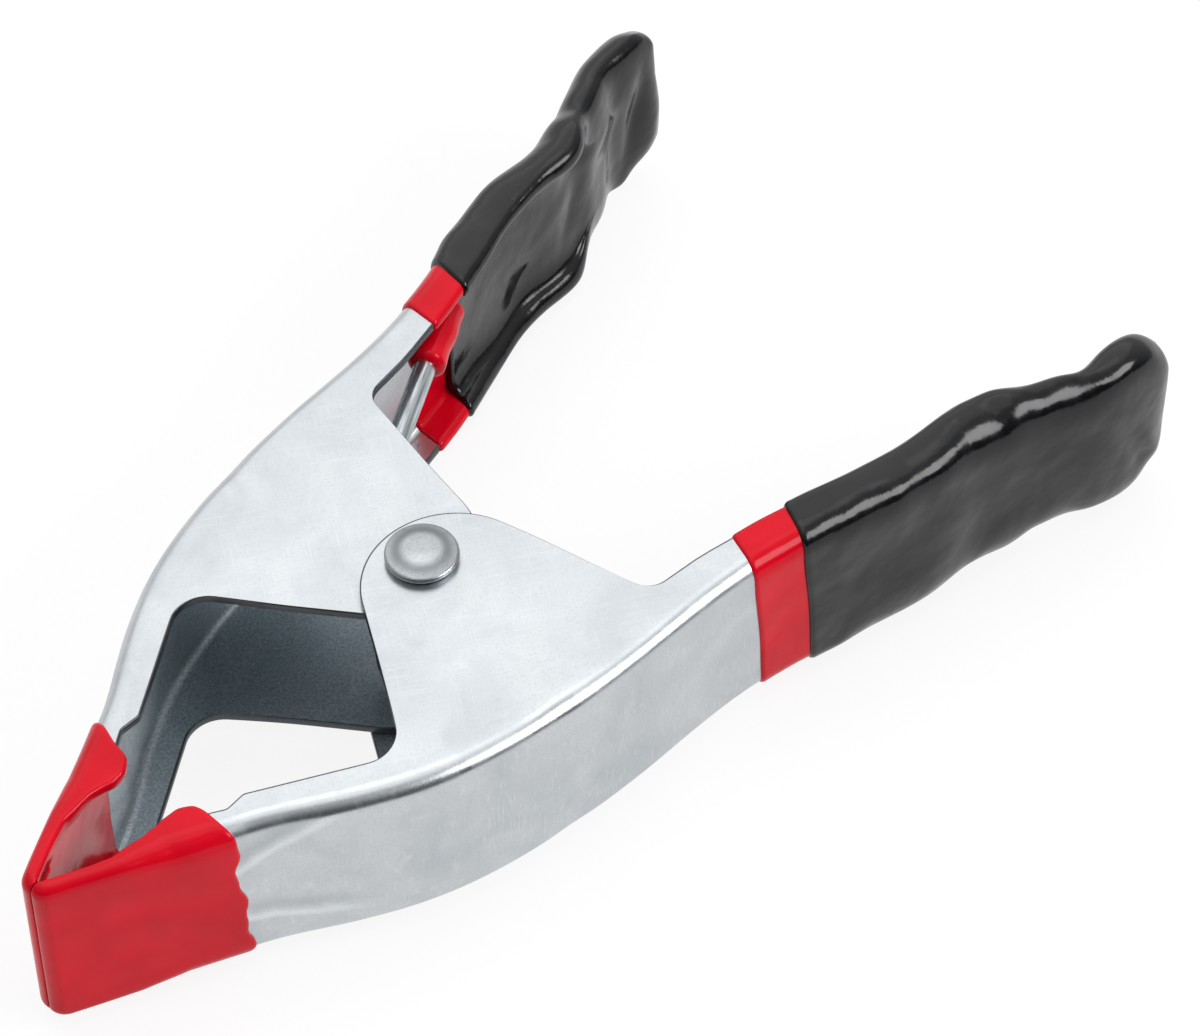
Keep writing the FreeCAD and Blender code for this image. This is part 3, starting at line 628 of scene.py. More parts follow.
def jaw_coat(name, node, body, side, lip_keys, edge_shift):
    """The red vinyl that a jaw was dipped in, with its lip and its edge's line."""
    x = dip_stations(JAW_END, JAW_DIP, False, 0.9, 0.45)
    point = SPINE.at(x)[0]
    skin = (JAW_COAT + BURIED) * quarter_round(JAW_DIP - x, 0.7) - BURIED
    depth = (point[:, 1] - np.interp(x, EDGE[:, 0], EDGE[:, 1])) * math.cos(JAW_SLOPE)
    low = -(depth + blended(lip_keys, x) * np.clip(skin / JAW_COAT, -0.2, 1.0))
    top, web, low = pinched(skin, -(SHEET + skin * 0.9), low, quarter_round(x - x[0] + 0.001, 0.9))

    def shift(x, across, height):
        """Rings lie square to the centre line, as the jaws were dipped, not square to the plate."""
        near_edge = smooth_step(JAW_DIP - 6.0, JAW_DIP - 0.5, x)
        return height * math.tan(JAW_SLOPE) + edge_shift(across, height) * near_edge

    wide = half_width(np.maximum(x, JAW_TIP[0] + JAW_CORNER)) + skin
    wide = brought_in(wide, JAW_END + JAW_ROUND - x, JAW_ROUND)
    rings = vinyl_rings(x, wide, top, web, low, SHEET + 2 * skin, BEND + skin, 0.9, shift, 0.6)
    rings = lumps(rings, (), 0.05, 7.0, 3.0 * side, (-66.0, -63.0))
    rings[..., 1] = np.maximum(rings[..., 1], JAWS_MEET)
    placed(make_piece(name, rings, red_vinyl, side), node, body)


def leg_sleeve():
    """The blob of vinyl that holds the spring leg's end: rings round the leg's line."""
    start, end = np.array(LEG[-1]), np.array(LEG[-2])
    along = (start - end) / np.linalg.norm(start - end)
    share = np.linspace(-11.0, 1.0, 44)
    radius = 2.5 * quarter_round(share + 11.05, 1.2) * quarter_round(1.1 - share, 1.7)
    radius = radius + 0.08 * np.sin(share * 1.1)
    turn = np.linspace(0.0, 2 * math.pi, 32, endpoint=False)
    middle = start + share[:, None] * along
    across = np.array([-along[1], along[0]])
    flat = middle[:, None, :] + across * (np.maximum(radius, 0.05)[:, None] * np.cos(turn))[..., None]
    height = LEG_HEIGHT + np.maximum(radius, 0.05)[:, None] * np.sin(turn)
    return np.concatenate([flat, height[..., None]], axis=2)


def joined(name, parts):
    """One piece from several closed shapes."""
    work = bmesh.new()
    for part in parts:
        work.from_mesh(part.data)
    for part in parts[1:]:
        old = part.data
        bpy.data.objects.remove(part)
        bpy.data.meshes.remove(old)
    work.to_mesh(parts[0].data)
    work.free()
    parts[0].name = name
    return parts[0]


def shift_near(start, edge_shift):
    """Moves a handle dip's points along the arm by the edge's own line, less and less past its start."""
    def shift(x, across, height):
        return edge_shift(across, height) * (1 - smooth_step(start + 1.0, start + 9.0, x))
    return shift


def base_coat(name, node, body, side, start, edge_shift):
    """The red vinyl that a handle was dipped in first, with the sleeve round the spring leg."""
    x = dip_stations(start, HANDLE_REACH + BASE_COAT, True, 0.7)
    point, normal = SPINE.at(x)
    skin = (BASE_COAT + BURIED) * quarter_round(x - start, 0.7) - BURIED
    low = -(depth_to_edge(point, normal) + skin)
    top, web, low = pinched(skin, -(SHEET + skin), low, quarter_round(x[-1] - x + 0.001, 0.7))

    shift = shift_near(start, edge_shift)
    rings = vinyl_rings(x, half_width(x, skin), top, web, low, SHEET + 2 * skin, BEND + skin, 0.9, shift)
    rings = lumps(rings, (), 0.06, 8.0, 11.0 * side, (start, start + 4.0))
    coat = make_piece(name, rings, red_vinyl, side)
    sleeve = make_piece(name + "_leg_sleeve", leg_sleeve(), red_vinyl, side)
    placed(joined(name, [coat, sleeve]), node, body)


def grip(name, node, body, side, start, features, edge_shift):
    """The thick black vinyl over a handle's red, pooled and lumpy towards its tip."""
    end = GRIP_END[side]
    x = dip_stations(start, end, True, GRIP_TIP_ROUND, 0.4)
    point, normal = SPINE.at(x)
    edge = quarter_round(x - start, 0.8)
    full = blended(GRIP_TOP, x) + TIP_FLARE[side] * smooth_step(68.0, 84.0, x)
    full = full + GRIP_SWELL[side] * smooth_step(start, start + 6.0, x) * (1 - smooth_step(58.0, 66.0, x))
    top = (full - BASE_COAT + BURIED) * edge + BASE_COAT - BURIED
    skin = (blended(GRIP_SIDE, x) - BASE_COAT + BURIED) * edge + BASE_COAT - BURIED
    least = (depth_to_edge(point, normal) + BASE_COAT + 0.5) * (1 - smooth_step(60.0, 66.0, x))
    low = -np.maximum(blended(GRIP_DEPTH, x) - full, least) + (0.5 + 2 * BURIED) * (1 - edge)
    bar = smooth_step(67.0, 71.5, x)
    web = -(SHEET + BASE_COAT - BURIED + (BURIED + GRIP_POOL) * edge) * (1 - bar) + low * bar
    wall = SHEET + BASE_COAT + 0.6 * edge + skin
    wall = wall * (1 - bar) + (top - low) * bar
    corner = BEND + skin + 1.8 * smooth_step(52.0, 64.0, x) - GRIP_CREASE[side] * smooth_step(70.0, 80.0, x)
    wide = half_width(np.minimum(x, HANDLE_REACH - TONGUE_CORNER)) + skin
    wide = brought_in(wide, x - end + GRIP_CORNER[side], GRIP_CORNER[side])
    top, web, low = pinched(top, web, low, quarter_round(x[-1] - x + 0.004, GRIP_TIP_ROUND))

    shift = shift_near(start, edge_shift)
    rings = vinyl_rings(x, wide, top, web, low, wall, corner, 3.2, shift, GRIP_LIP[side], 1.6)
    down = -side * rings[..., 2]
    lower = smooth_step(0.0, 12.0, down)
    rings[..., 0] += TIP_SKEW[side] * smooth_step(-8.0, 4.0, down) * smooth_step(78.0, end, rings[..., 0])
    rings[..., 2] *= 1 - TIP_LEAN[side] * lower * smooth_step(76.0, end, rings[..., 0])
    share = smooth_step(start + 3.0, start + 9.0, x) * (1 - smooth_step(end - 2.5, end - 1.0, x))
    rings = softened(rings, share, FLOW_PASSES)
    rings = lumps(rings, features, 0.22, 9.0, 23.0 * side, (start + 2.0, start + 6.0))
    placed(make_piece(name, rings, black_vinyl, side), node, body)


def pivot_rivet():
    """The rivet as it is turned: flat formed tail, shank, and a low domed head with a rolled rim."""
    ear = MID_HEIGHT + HALF_WIDTH + EAR_OFFSET
    tail = rounded_path([(0.0, 0.0, 0.0), (3.75, 0.0, 0.25), (4.4, 0.8, 0.4), (4.4, 1.78, 0.12),
                         (3.6, 1.78, 0.1), (SHANK, 1.85, 0.05), (SHANK, ear - 0.02, 0.0)], 0.12)
    head = curve_through([(SHANK, ear + 0.02), (3.55, ear + 0.06), (4.15, ear + 0.20), (4.58, ear + 0.52),
                          (4.70, ear + 0.86), (4.58, ear + 1.14), (4.22, ear + 1.33), (3.7, ear + 1.50),
                          (3.0, ear + 1.70), (2.2, ear + 1.90), (1.2, ear + 2.08), (0.0, ear + 2.14)], 0.12)
    profile = np.vstack([tail, head])
    turn = np.linspace(0.0, 2 * math.pi, 96, endpoint=False)
    points = []
    inner = profile[1:-1]
    for radius, height in inner:
        uneven = 1 + 0.006 * np.sin(2 * turn + 0.7) * min(1.0, radius / 4.0)
        points.append(np.stack([radius * uneven * np.cos(turn), radius * uneven * np.sin(turn),
                                np.full(turn.shape, height)], axis=1))
    points = np.vstack(points + [[[0.0, 0.0, profile[0, 1]]], [[0.0, 0.0, profile[-1, 1]]]]) * MM
    around = len(turn)
    last = (len(inner) - 1) * around
    faces = ring_faces(len(inner), around)
    for this in range(around):
        after = (this + 1) % around
        faces += [[len(points) - 2, after, this], [len(points) - 1, last + this, last + after]]
    piece = finished("rivet", points, faces, rivet_steel)
    placed(piece, "pivot_rivet", "outer_lever")


def leg_line():
    """A spring leg's line: where it leaves the coil, its bend and its end under the spine."""
    bend = np.array([14.5, 19.0])
    angle = math.atan2(bend[1], bend[0]) + math.acos(COIL_RADIUS / np.linalg.norm(bend))
    point, normal = SPINE.at(np.array([36.4]))
    end = point[0] - normal[0] * (SHEET + 0.15 + WIRE_RADIUS)
    leaves = COIL_RADIUS * np.array([math.cos(angle), math.sin(angle)])
    return angle, rounded_path([(*leaves, 0.0), (*bend, 9.0), (*end, 0.0)], 0.8)


LEG_ANGLE, LEG = leg_line()
COIL_TURNS = 5 - LEG_ANGLE / math.pi
LEG_HEIGHT = COIL_TURNS * COIL_PITCH / 2


def tube_tree():
    """Geometry nodes that turn a line of edges into closed wire."""
    tree = bpy.data.node_groups.new("wire_along_line", "GeometryNodeTree")
    tree.interface.new_socket("Line", in_out="INPUT", socket_type="NodeSocketGeometry")
    tree.interface.new_socket("Wire radius", in_out="INPUT", socket_type="NodeSocketFloat")
    tree.interface.new_socket("Faces around", in_out="INPUT", socket_type="NodeSocketInt")
    tree.interface.new_socket("Material", in_out="INPUT", socket_type="NodeSocketMaterial")
    tree.interface.new_socket("Wire", in_out="OUTPUT", socket_type="NodeSocketGeometry")
    add = partial(add_node, tree)
    given = add("NodeGroupInput").outputs
    place = add("GeometryNodeSplineParameter").outputs
    line = add("GeometryNodeMeshToCurve", {"Mesh": given["Line"]})
    along = add("GeometryNodeStoreNamedAttribute", {
        "Geometry": line, "Name": "along_wire", "Value": place["Length"],
    }, data_type="FLOAT", domain="POINT")
    ring = add("GeometryNodeCurvePrimitiveCircle", {
        "Resolution": given["Faces around"], "Radius": given["Wire radius"]})
    turn = add("GeometryNodeStoreNamedAttribute", {
        "Geometry": ring, "Name": "around_wire", "Value": place["Factor"],
    }, data_type="FLOAT", domain="POINT")
    wire = add("GeometryNodeCurveToMesh", {"Curve": along, "Profile Curve": turn, "Fill Caps": True})
    real = add("GeometryNodeRealizeInstances", {"Geometry": wire})
    coloured = add("GeometryNodeSetMaterial", {"Geometry": real, "Material": given["Material"]})
    add("NodeGroupOutput", {"Wire": coloured})
    return tree


def torsion_spring():
    """Close-wound wire round the rivet, turning clockwise as it climbs, with a leg for each arm."""
    upper = np.column_stack([LEG, np.full(len(LEG), LEG_HEIGHT)])
    lower = upper[::-1] * np.array([1.0, -1.0, -1.0])
    turned = np.linspace(0.0, 2 * math.pi * COIL_TURNS, int(48 * COIL_TURNS))[1:-1]
    angle = -LEG_ANGLE - turned
    height = -LEG_HEIGHT + COIL_PITCH * turned / (2 * math.pi)
    coil = np.stack([COIL_RADIUS * np.cos(angle), COIL_RADIUS * np.sin(angle), height], axis=1)
    path = (np.vstack([lower, coil, upper]) + np.array([0.0, 0.0, MID_HEIGHT])) * MM
    mesh = bpy.data.meshes.new("spring")
    mesh.from_pydata(path.tolist(), [(i, i + 1) for i in range(len(path) - 1)], [])
    piece = in_scene("spring", mesh)
    tree = tube_tree()
    inputs = {item.name: item.identifier for item in tree.interface.items_tree if item.in_out == "INPUT"}
    winder = piece.modifiers.new("wire", "NODES")
    winder.node_group = tree
    winder[inputs["Wire radius"]] = WIRE_RADIUS * MM
    winder[inputs["Faces around"]] = WIRE_FACES
    winder[inputs["Material"]] = spring_wire
    settle(piece)
    for polygon in piece.data.polygons:
        polygon.use_smooth = len(polygon.vertices) == 4
    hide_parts("torsion_spring")
    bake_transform(piece)


def add_node(tree, kind, inputs=None, **settings):
    """Adds a node, sets its settings, and fills its inputs with values or with links.

    A link comes from a socket, or from a node's first output.
    """
    node = tree.nodes.new(kind)
    for name, value in settings.items():
        setattr(node, name, value)
    for key, value in (inputs or {}).items():
        if isinstance(value, bpy.types.Node):
            value = value.outputs[0]
        if isinstance(value, bpy.types.NodeSocket):
            tree.links.new(value, node.inputs[key])
        else:
            node.inputs[key].default_value = value
    return node


def empty_material(name):
    """A material with no nodes, and what adds nodes to its tree."""
    material = bpy.data.materials.new(name)
    material.use_nodes = True
    material.node_tree.nodes.clear()
    return material, partial(add_node, material.node_tree)


def per_size(size):
    """A noise texture's scale for features of a size in millimetres, on coordinates in metres."""
    return 1.0 / (size * MM)


def overlaid(add, colour, layers):
    """A colour with others laid over it.

    Each layer is a mask, the two values that it runs between, how much of the layer's colour shows
    at each of them, and that colour.
    """
    for mask, low, high, at_low, at_high, layer in layers:
        share = add("ShaderNodeMapRange", {
            "Value": mask, "From Min": low, "From Max": high, "To Min": at_low, "To Max": at_high})
        mix = add("ShaderNodeMix", {0: share, 6: colour, 7: layer}, data_type="RGBA")
        colour = mix.outputs[2]
    return colour


def added_up(add, terms):
    """A sum of patterns. Each term is a pattern, the two values it runs between, and its part at each."""
    total = None
    for pattern, low, high, at_low, at_high in terms:
        part = add("ShaderNodeMapRange", {
            "Value": pattern, "From Min": low, "From Max": high, "To Min": at_low, "To Max": at_high})
        total = part if total is None else add("ShaderNodeMath", {0: part, 1: total}, operation="ADD")
    return total


def surfaced(material, add, constants, colour, gloss, height, strength, depth):
    """Gives a material its shader, and a bump from a pattern's height. Its depth is in millimetres."""
    bump = add("ShaderNodeBump", {"Strength": strength, "Distance": depth * MM, "Height": height})
    shader = add("ShaderNodeBsdfPrincipled", {
        **constants, "Base Color": colour, "Roughness": gloss, "Normal": bump})
    add("ShaderNodeOutputMaterial", {"Surface": shader})
    return material


# Families of handling scratches: the turn, the length and width in millimetres, and a seed
SCRATCHES = ((0.62, 16.0, 0.16, 0.0), (0.42, 9.0, 0.12, 5.0), (-0.95, 7.0, 0.14, 9.0))


def bright_zinc_plate():
    """Pressed mild steel sheet, electroplated with bright zinc.

    The eye gets a bright, slightly blue-white metal with soft reflections, a fine grainy speckle from
    the sheet under the plate, long faint handling scratches, a painted highlight on the ridge of each
    press fold with painted shade beside it, darker sheared edges, and painted shade inside the
    channel, a slate grey that lightens towards the open handle end. Speckle and scratches are
    finer on real sheet, and are drawn as coarse as they need to be to show.
    """
    material, add = empty_material("bright_zinc_plate")
    place = add("ShaderNodeTexCoord").outputs["Object"]
    speckle = add("ShaderNodeTexNoise", {
        "Vector": place, "Scale": per_size(0.30), "Detail": 3.0, "Roughness": 0.6})
    cloud = add("ShaderNodeTexNoise", {
        "Vector": place, "Scale": per_size(11.0), "Detail": 3.0, "Roughness": 0.55, "Distortion": 0.6})
    smear = add("ShaderNodeTexNoise", {
        "Vector": place, "Scale": per_size(3.2), "Detail": 4.0, "Roughness": 0.6, "Distortion": 0.4})
    scratch = 0.0
    for turn, length, width, seed in SCRATCHES:
        turned = add("ShaderNodeMapping", {
            "Vector": place, "Location": (seed, seed, 0.0), "Rotation": (0.0, 0.0, turn)})
        drawn = add("ShaderNodeMapping", {"Vector": turned, "Scale": (1 / length, 1 / width, 1 / 2.5)})
        streak = add("ShaderNodeTexNoise", {"Vector": drawn, "Scale": per_size(1.0), "Detail": 1.0})
        line = add("ShaderNodeMapRange", {"Value": streak, "From Min": 0.60, "From Max": 0.72})
        scratch = add("ShaderNodeMath", {0: line, 1: scratch}, operation="MAXIMUM")
    rubbed = add("ShaderNodeMapRange", {"Value": smear, "From Min": 0.40, "From Max": 0.60})
    broken = add("ShaderNodeMath", {0: scratch, 1: rubbed}, operation="MULTIPLY")
    # inside sets painted shade inside the channel; folds sets a painted highlight on each fold's ridge and
    # painted shade beside it
    inside, cut, folds = (add("ShaderNodeAttribute", attribute_name=mark).outputs["Fac"]
                          for mark in ("inside", "cut_edge", "folds"))
    plate = overlaid(add, hex_colour("#D2D6D9"), (
        (cloud, 0.35, 0.65, 0.0, 1.0, hex_colour("#C5CACE")),
        (speckle, 0.50, 0.80, 0.0, 0.45, hex_colour("#A9B0B5")),
        (broken, 0.0, 1.0, 0.0, 0.25, hex_colour("#F2F5F7")),
        # painted highlight on each press fold's ridge, and painted shade beside it
        (folds, 0.1, 1.0, 0.0, 0.65, hex_colour("#F4F6F8")),
        (folds, -0.6, 0.0, 0.35, 0.0, hex_colour("#9AA1A5")),
    ))
    # painted shade inside the channel: a slate grey, with its own speckle and scratches
    shaded_inside = overlaid(add, hex_colour("#98A4AA"), (
        (speckle, 0.35, 0.65, 0.0, 1.0, hex_colour("#C6D0D5")),
        (broken, 0.0, 1.0, 0.0, 0.4, hex_colour("#C2C9CC")),
    ))
    colour = overlaid(add, plate, (
        (inside, 0.0, 1.0, 0.0, 1.0, shaded_inside),
        (cut, 0.0, 1.0, 0.0, 0.9, hex_colour("#33383B")),
    ))
    gloss = added_up(add, (
        (cloud, 0.3, 0.7, 0.24, 0.34), (smear, 0.45, 0.75, 0.0, 0.10), (inside, 0.0, 1.0, 0.0, 0.16)))
    rolled = added_up(add, (
        (speckle, 0.0, 1.0, 0.0, 0.28), (broken, 0.0, 1.0, 0.0, -0.05), (smear, 0.0, 1.0, 0.0, 0.14)))
    return surfaced(material, add, {"Metallic": 1.0}, colour, gloss, rolled, 0.22, 0.05)


def satin_zinc_rivet():
    """A cold-headed steel rivet, zinc plated.

    The eye gets a slightly greyer metal than the sheet, softly dented by the riveting tool, with
    painted shade in a darker ring where the dome slopes down towards its rim.
    """
    material, add = empty_material("satin_zinc_rivet")
    place = add("ShaderNodeTexCoord").outputs["Object"]
    fine = add("ShaderNodeTexNoise", {"Vector": place, "Scale": per_size(0.35), "Detail": 3.0})
    soft = add("ShaderNodeTexNoise", {"Vector": place, "Scale": per_size(1.6)})
    flat = add("ShaderNodeVectorMath", {0: place, 1: (1.0, 1.0, 0.0)}, operation="MULTIPLY")
    reach = add("ShaderNodeVectorMath", {0: flat}, operation="LENGTH").outputs["Value"]
    rise = add("ShaderNodeMapRange", {"Value": reach, "From Min": 2.2 * MM, "From Max": 3.0 * MM})
    fall = add("ShaderNodeMapRange", {
        "Value": reach, "From Min": 3.4 * MM, "From Max": 4.3 * MM, "To Min": 1.0, "To Max": 0.2})
    # ring is painted shade on the band where the dome slopes down towards its rim
    ring = add("ShaderNodeMath", {0: rise, 1: fall}, operation="MULTIPLY")
    colour = overlaid(add, hex_colour("#B6BABC"), (
        (ring, 0.0, 1.0, 0.0, 1.0, hex_colour("#858A8D")),
        (fine, 0.5, 0.8, 0.0, 0.5, hex_colour("#7F8589")),
    ))
    gloss = added_up(add, ((soft, 0.3, 0.7, 0.24, 0.36),))
    dents = added_up(add, ((fine, 0.0, 1.0, 0.0, 0.3), (soft, 0.0, 1.0, 0.0, 1.0)))
    return surfaced(material, add, {"Metallic": 1.0}, colour, gloss, dents, 0.35, 0.12)


def drawn_spring_wire():
    """Hard-drawn carbon steel wire, lightly plated.

    The eye gets a bright steel with fine darker lines along the wire from the drawing die, drawn
    coarser than real ones so that they show.
    """
    material, add = empty_material("drawn_spring_wire")
    along, around = (add("ShaderNodeAttribute", attribute_name=mark).outputs["Fac"]
                     for mark in ("along_wire", "around_wire"))
    turn = add("ShaderNodeMath", {0: around, 1: 2 * math.pi}, operation="MULTIPLY")
    spot = add("ShaderNodeCombineXYZ", {
        "X": add("ShaderNodeMath", {0: along, 1: 1 / (40.0 * MM)}, operation="MULTIPLY"),
        "Y": add("ShaderNodeMath", {0: turn}, operation="COSINE"),
        "Z": add("ShaderNodeMath", {0: turn}, operation="SINE"),
    })
    lines = add("ShaderNodeTexNoise", {"Vector": spot, "Scale": 7.0, "Detail": 3.0})
    colour = overlaid(add, hex_colour("#DDE1E4"), ((lines, 0.35, 0.65, 0.0, 1.0, hex_colour("#9AA2A8")),))
    gloss = added_up(add, ((lines, 0.3, 0.7, 0.22, 0.36),))
    return surfaced(material, add, {"Metallic": 1.0}, colour, gloss, lines, 0.2, 0.02)


def dipped_vinyl(name, colour, shade, ior, specular, orange_peel, gloss_low, gloss_high):
    """Steel dipped hot into liquid vinyl (PVC plastisol) and cured.

    The eye gets a wet-looking, even gloss over a surface that ran and sagged a little before it set:
    slow swells with a faint finer ripple, and colour a touch deeper where the skin is thick.
    """
    material, add = empty_material(name)
    place = add("ShaderNodeTexCoord").outputs["Object"]
    swell = add("ShaderNodeTexNoise", {
        "Vector": place, "Scale": per_size(7.0), "Detail": 1.5, "Roughness": 0.45})
    ripple = add("ShaderNodeTexNoise", {"Vector": place, "Scale": per_size(1.9)})
    dust = add("ShaderNodeTexNoise", {
        "Vector": place, "Scale": per_size(0.5), "Detail": 3.0, "Roughness": 0.6})
    tint = overlaid(add, colour, ((swell, 0.3, 0.7, 0.0, 1.0, shade),))
    gloss = added_up(add, ((ripple, 0.3, 0.7, gloss_low, gloss_high), (dust, 0.55, 0.8, 0.0, 0.06)))
    sagged = added_up(add, (
        (swell, 0.0, 1.0, 0.0, 1.0), (ripple, 0.0, 1.0, 0.0, 0.12), (dust, 0.0, 1.0, 0.0, 0.012)))
    constants = {"IOR": ior, "Specular IOR Level": specular}
    return surfaced(material, add, constants, tint, gloss, sagged, 0.5, orange_peel)


zinc_plate = bright_zinc_plate()
rivet_steel = satin_zinc_rivet()
spring_wire = drawn_spring_wire()
red_vinyl = dipped_vinyl("dipped_red_vinyl", hex_colour("#D0051F"), hex_colour("#C0021A"), 1.42, 0.24,
                         0.5, 0.12, 0.20)
black_vinyl = dipped_vinyl("dipped_black_vinyl", hex_colour("#08090B"), hex_colour("#0B0C0F"), 1.47, 0.5,
                           1.0, 0.12, 0.22)


def square_edge(across, height, lean=0.25):
    """A dip edge square to the clamp's centre line, which a thick skin's edge leans over further."""
    return lean * height + 0.12 * np.sin(across * 0.33 + 0.4)


def slanting_edge(across, height):
    """A dip edge that leans back towards the rivet over the upper side."""
    return -0.2 * height - 1.1 + 0.083 * across + 0.12 * np.sin(across * 0.33 + 1.0)


def even_edge(across, height):
    """A nearly straight dip edge that crept further along the upper bend."""
    crept = 1.5 * bell(across, 11.5, 3.0) * smooth_step(-4.5, -1.0, height)
    return 0.15 * np.sin(across * 0.4 + 0.4) + crept


def scalloped_edge(across, height):
    """A dip edge that ran in soft scallops over the spine, further on the lower side."""
    scallops = 0.35 * np.sin(across * 0.62 + 0.9) + 0.16 * np.sin(across * 1.45)
    return (0.9 * smooth_step(-5.0, 9.0, across) + scallops) * smooth_step(-4.0, -1.0, height)


OUTER_LUMPS = (
    ((62.0, 40.0, 9.0), (7.0, 6.0, 7.0), 0.0, 0.6),
    ((77.0, 43.0, 12.0), (6.0, 6.0, 5.0), 0.0, -0.3),
    ((48.0, 37.0, -12.0), (2.2, 4.0, 3.5), 0.0, 0.30),
    ((52.5, 38.0, -11.0), (2.0, 4.0, 4.0), 0.0, -0.25),
    ((60.5, 39.5, -12.0), (4.5, 4.0, 4.5), 0.3, 0.45),
    ((66.0, 36.0, -13.0), (2.2, 3.5, 4.0), 0.0, -0.35),
    ((70.5, 39.5, -12.0), (3.5, 4.0, 3.5), 0.0, 0.35),
    ((79.0, 42.0, -12.0), (3.5, 5.0, 4.0), 0.0, -0.40),
    ((56.0, 39.0, 2.0), (5.0, 8.0, 7.0), -0.5, 0.40),
    ((46.0, 36.0, -2.0), (6.0, 8.0, 5.0), 0.2, -0.35),
    ((86.0, 46.0, 5.0), (1.6, 8.0, 4.5), 0.5, -0.40),
    ((88.5, 46.0, 5.0), (1.4, 8.0, 4.5), 0.5, 0.35),
)
INNER_LUMPS = (
    ((64.0, 33.0, 12.0), (3.0, 3.0, 6.0), 0.0, 0.4),
    ((69.5, 37.0, 9.0), (3.0, 5.0, 4.0), 0.5, -0.55),
    ((77.0, 38.0, 5.0), (6.0, 6.0, 2.6), 0.0, 0.55),
    ((67.0, 34.0, -2.0), (1.8, 5.0, 6.0), 0.35, -0.45),
    ((85.0, 41.0, 0.0), (1.7, 6.0, 6.5), 0.25, -0.75),
    ((88.5, 42.0, -4.0), (2.2, 6.0, 6.0), 0.1, 0.45),
    ((83.0, 42.0, -12.0), (2.0, 5.0, 2.4), 0.0, 0.55),
    ((80.0, 41.0, -12.5), (1.8, 5.0, 2.6), 0.0, -0.50),
    ((48.0, 33.0, -8.0), (4.0, 5.0, 3.0), 0.0, 0.30),
    ((56.0, 35.0, -7.0), (3.5, 5.0, 3.5), 0.3, -0.35),
)
OUTER_LIP = ((-66.0, 0.15), (-60.0, 0.2), (-56.0, 0.5), (-52.0, 0.4), (-48.8, 0.6), (-46.8, 1.5),
             (-45.5, 1.4), (-44.0, 0.6))
INNER_LIP = ((-66.0, 0.15), (-60.0, 0.2), (-56.0, 0.5), (-52.0, 0.6), (-48.8, 1.3), (-46.8, 2.0),
             (-45.5, 1.7), (-44.0, 0.6))

for side, prefix, lip, jaw_line, red_line, black_line, features in (
        (-1, "outer", OUTER_LIP, scalloped_edge, slanting_edge, slanting_edge, OUTER_LUMPS),
        (1, "inner", INNER_LIP, even_edge, square_edge, partial(square_edge, lean=0.45), INNER_LUMPS)):
    lever = prefix + "_lever"
    rings, marks = arm_rings(side)
    arm = make_piece(prefix + "_pressed_arm", rings, zinc_plate, side, marks)
    bored(arm, HOLE_RADIUS)
    placed(arm, prefix + "_arm", lever)
    jaw_coat(prefix + "_jaw_dip", prefix + "_jaw_coat", lever, side, lip, jaw_line)
    base_coat(prefix + "_red_dip", prefix + "_handle_base_coat", lever, side, BASE_START[side], red_line)
    grip(prefix + "_black_dip", prefix + "_grip", lever, side, GRIP_START[side], features, black_line)
pivot_rivet()
torsion_spring()


def studio_floor():
    """Matt white studio paper, lit from behind as well: an even white ground that keeps a faint shadow."""
    material, add = empty_material("white_studio_paper")
    place = add("ShaderNodeTexCoord").outputs["Object"]
    fibre = add("ShaderNodeTexNoise", {"Vector": place, "Scale": per_size(2.0), "Detail": 3.0})
    paper = overlaid(add, hex_colour("#F4F4F4"), ((fibre, 0.0, 1.0, 0.0, 1.0, hex_colour("#F7F7F7")),))
    matt = add("ShaderNodeBsdfPrincipled", {"Roughness": 0.9, "IOR": 1.3, "Base Color": paper})
    rays = add("ShaderNodeLightPath").outputs
    seen = add("ShaderNodeMath", {0: rays["Is Camera Ray"], 1: rays["Is Glossy Ray"]}, operation="MAXIMUM")
    seen = add("ShaderNodeMath", {0: seen, 1: rays["Is Transmission Ray"]}, operation="MAXIMUM")
    share = add("ShaderNodeMath", {0: seen, 1: FLOOR_GLOW}, operation="MULTIPLY")
    glow = add("ShaderNodeMapRange", {
        "Value": rays["Is Glossy Ray"], "To Min": 1.0, "To Max": FLOOR_MIRRORED})
    white = add("ShaderNodeEmission", {"Color": hex_colour("#FFFFFF"), "Strength": glow})
    ground = add("ShaderNodeMixShader", {0: share, 1: matt, 2: white})
    add("ShaderNodeOutputMaterial", {"Surface": ground})
    mesh = bpy.data.meshes.new("floor")
    reach = 3.0
    mesh.from_pydata([(-reach, -reach, 0), (reach, -reach, 0), (reach, reach, 0), (-reach, reach, 0)], [],
                     [(0, 1, 2, 3)])
    mesh.materials.append(material)
    floor = in_scene("floor", mesh)


def way_to(azimuth, elevation):
    """The way out from the clamp, in degrees. Azimuth 0 is at -Y, and 90 at +X."""
    turn, rise = math.radians(azimuth), math.radians(elevation)
    return Vector((math.sin(turn) * math.cos(rise), -math.cos(turn) * math.cos(rise), math.sin(rise)))


def softbox(name, azimuth, elevation, distance, width, height, power, shape="RECTANGLE",
            in_reflections=True):
    """A soft lamp that faces the clamp."""
    lamp = bpy.data.lights.new(name, "AREA")
    lamp.shape = shape
    lamp.size, lamp.size_y = width, height
    lamp.energy = power
    holder = in_scene(name, lamp)
    away = way_to(azimuth, elevation)
    holder.location = away * distance
    holder.rotation_mode = "QUATERNION"
    holder.rotation_quaternion = away.to_track_quat("Z", "Y")
    holder.visible_glossy = in_reflections


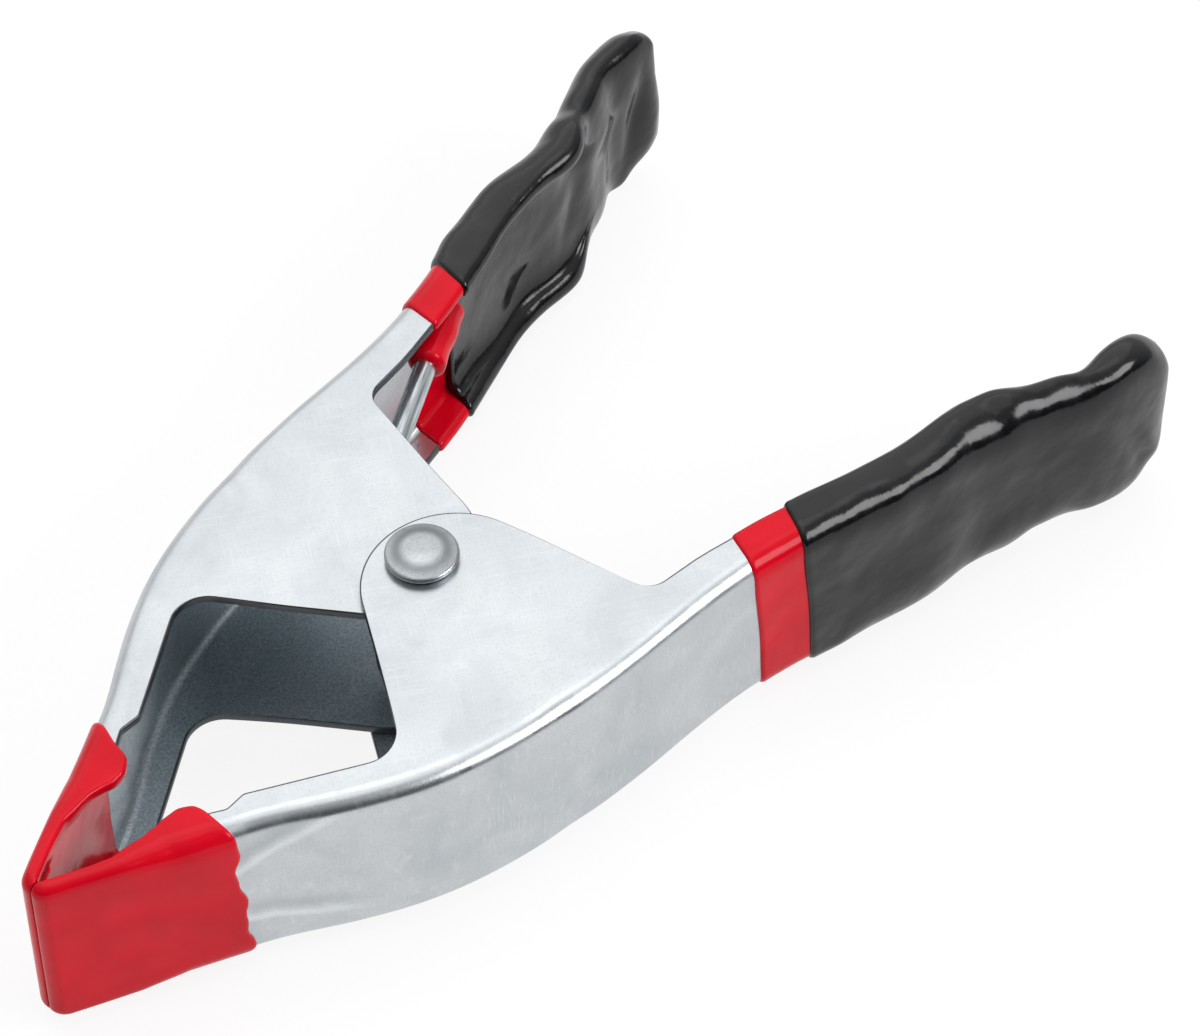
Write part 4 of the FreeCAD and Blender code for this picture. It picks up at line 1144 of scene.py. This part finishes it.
def pale_room():
    """A pale room, bright overhead and behind the clamp, and darker low down towards the front."""
    world = bpy.data.worlds.new("pale_room")
    bpy.context.scene.world = world
    world.use_nodes = True
    world.node_tree.nodes.clear()
    add = partial(add_node, world.node_tree)
    way = add("ShaderNodeTexCoord").outputs["Generated"]
    bright, front = Vector((0.30, 0.60, 0.75)).normalized(), Vector((-0.21, -0.98, 0.10)).normalized()
    to_bright, to_front = (
        add("ShaderNodeVectorMath", {0: way, 1: side}, operation="DOT_PRODUCT").outputs["Value"]
        for side in (bright, front))
    rise = add("ShaderNodeSeparateXYZ", {"Vector": way}).outputs["Z"]
    low = add("ShaderNodeMapRange", {
        "Value": rise, "From Min": 0.08, "From Max": 0.45, "To Min": 1.0, "To Max": 0.0})
    ahead = add("ShaderNodeMapRange", {"Value": to_front, "From Min": 0.35, "From Max": 0.80})
    dark = add("ShaderNodeMath", {0: low, 1: ahead}, operation="MULTIPLY")
    colour = overlaid(add, hex_colour("#5E6266"), (
        (to_bright, -0.25, 0.95, 0.0, 1.0, hex_colour("#FFFFFF")),
        (dark, 0.0, 1.0, 0.0, 1.0, hex_colour("#2A2D30")),
    ))
    light = add("ShaderNodeBackground", {"Color": colour, "Strength": 0.82})
    add("ShaderNodeOutputWorld", {"Surface": light})


def camera():
    """The camera, a little turned about its own line of sight."""
    roll = math.radians(CAMERA_ROLL)
    back = way_to(CAMERA_AZIMUTH, CAMERA_ELEVATION)
    right = (-back).cross(Vector((0, 0, 1))).normalized()
    up = right.cross(-back)
    side = right * math.cos(roll) + up * math.sin(roll)
    top = up * math.cos(roll) - right * math.sin(roll)
    lens = bpy.data.cameras.new("camera")
    lens.sensor_width = 36.0
    lens.lens = CAMERA_LENS
    lens.clip_start = 0.01
    holder = in_scene("camera", lens)
    spot = Vector(CAMERA_AIM) * MM + back * CAMERA_DISTANCE
    place = Matrix((side, top, back)).transposed().to_4x4()
    place.translation = spot
    holder.matrix_world = place
    bpy.context.scene.camera = holder


studio_floor()
pale_room()
softbox("key_softbox", 140, 52, 1.2, 1.8, 1.4, 3.5)
softbox("overhead_softbox", 140, 86, 1.3, 1.1, 1.1, 2.2)
softbox("overhead_fill", 140, 84, 1.3, 1.1, 1.1, 4.2, in_reflections=False)
softbox("side_softbox", 24, 36, 1.2, 0.87, 0.55, 8.0, shape="ELLIPSE")
softbox("front_fill", -15, 12, 1.5, 1.0, 0.4, 0.6, in_reflections=False)
camera()
bpy.context.scene.view_settings.view_transform = "Standard"
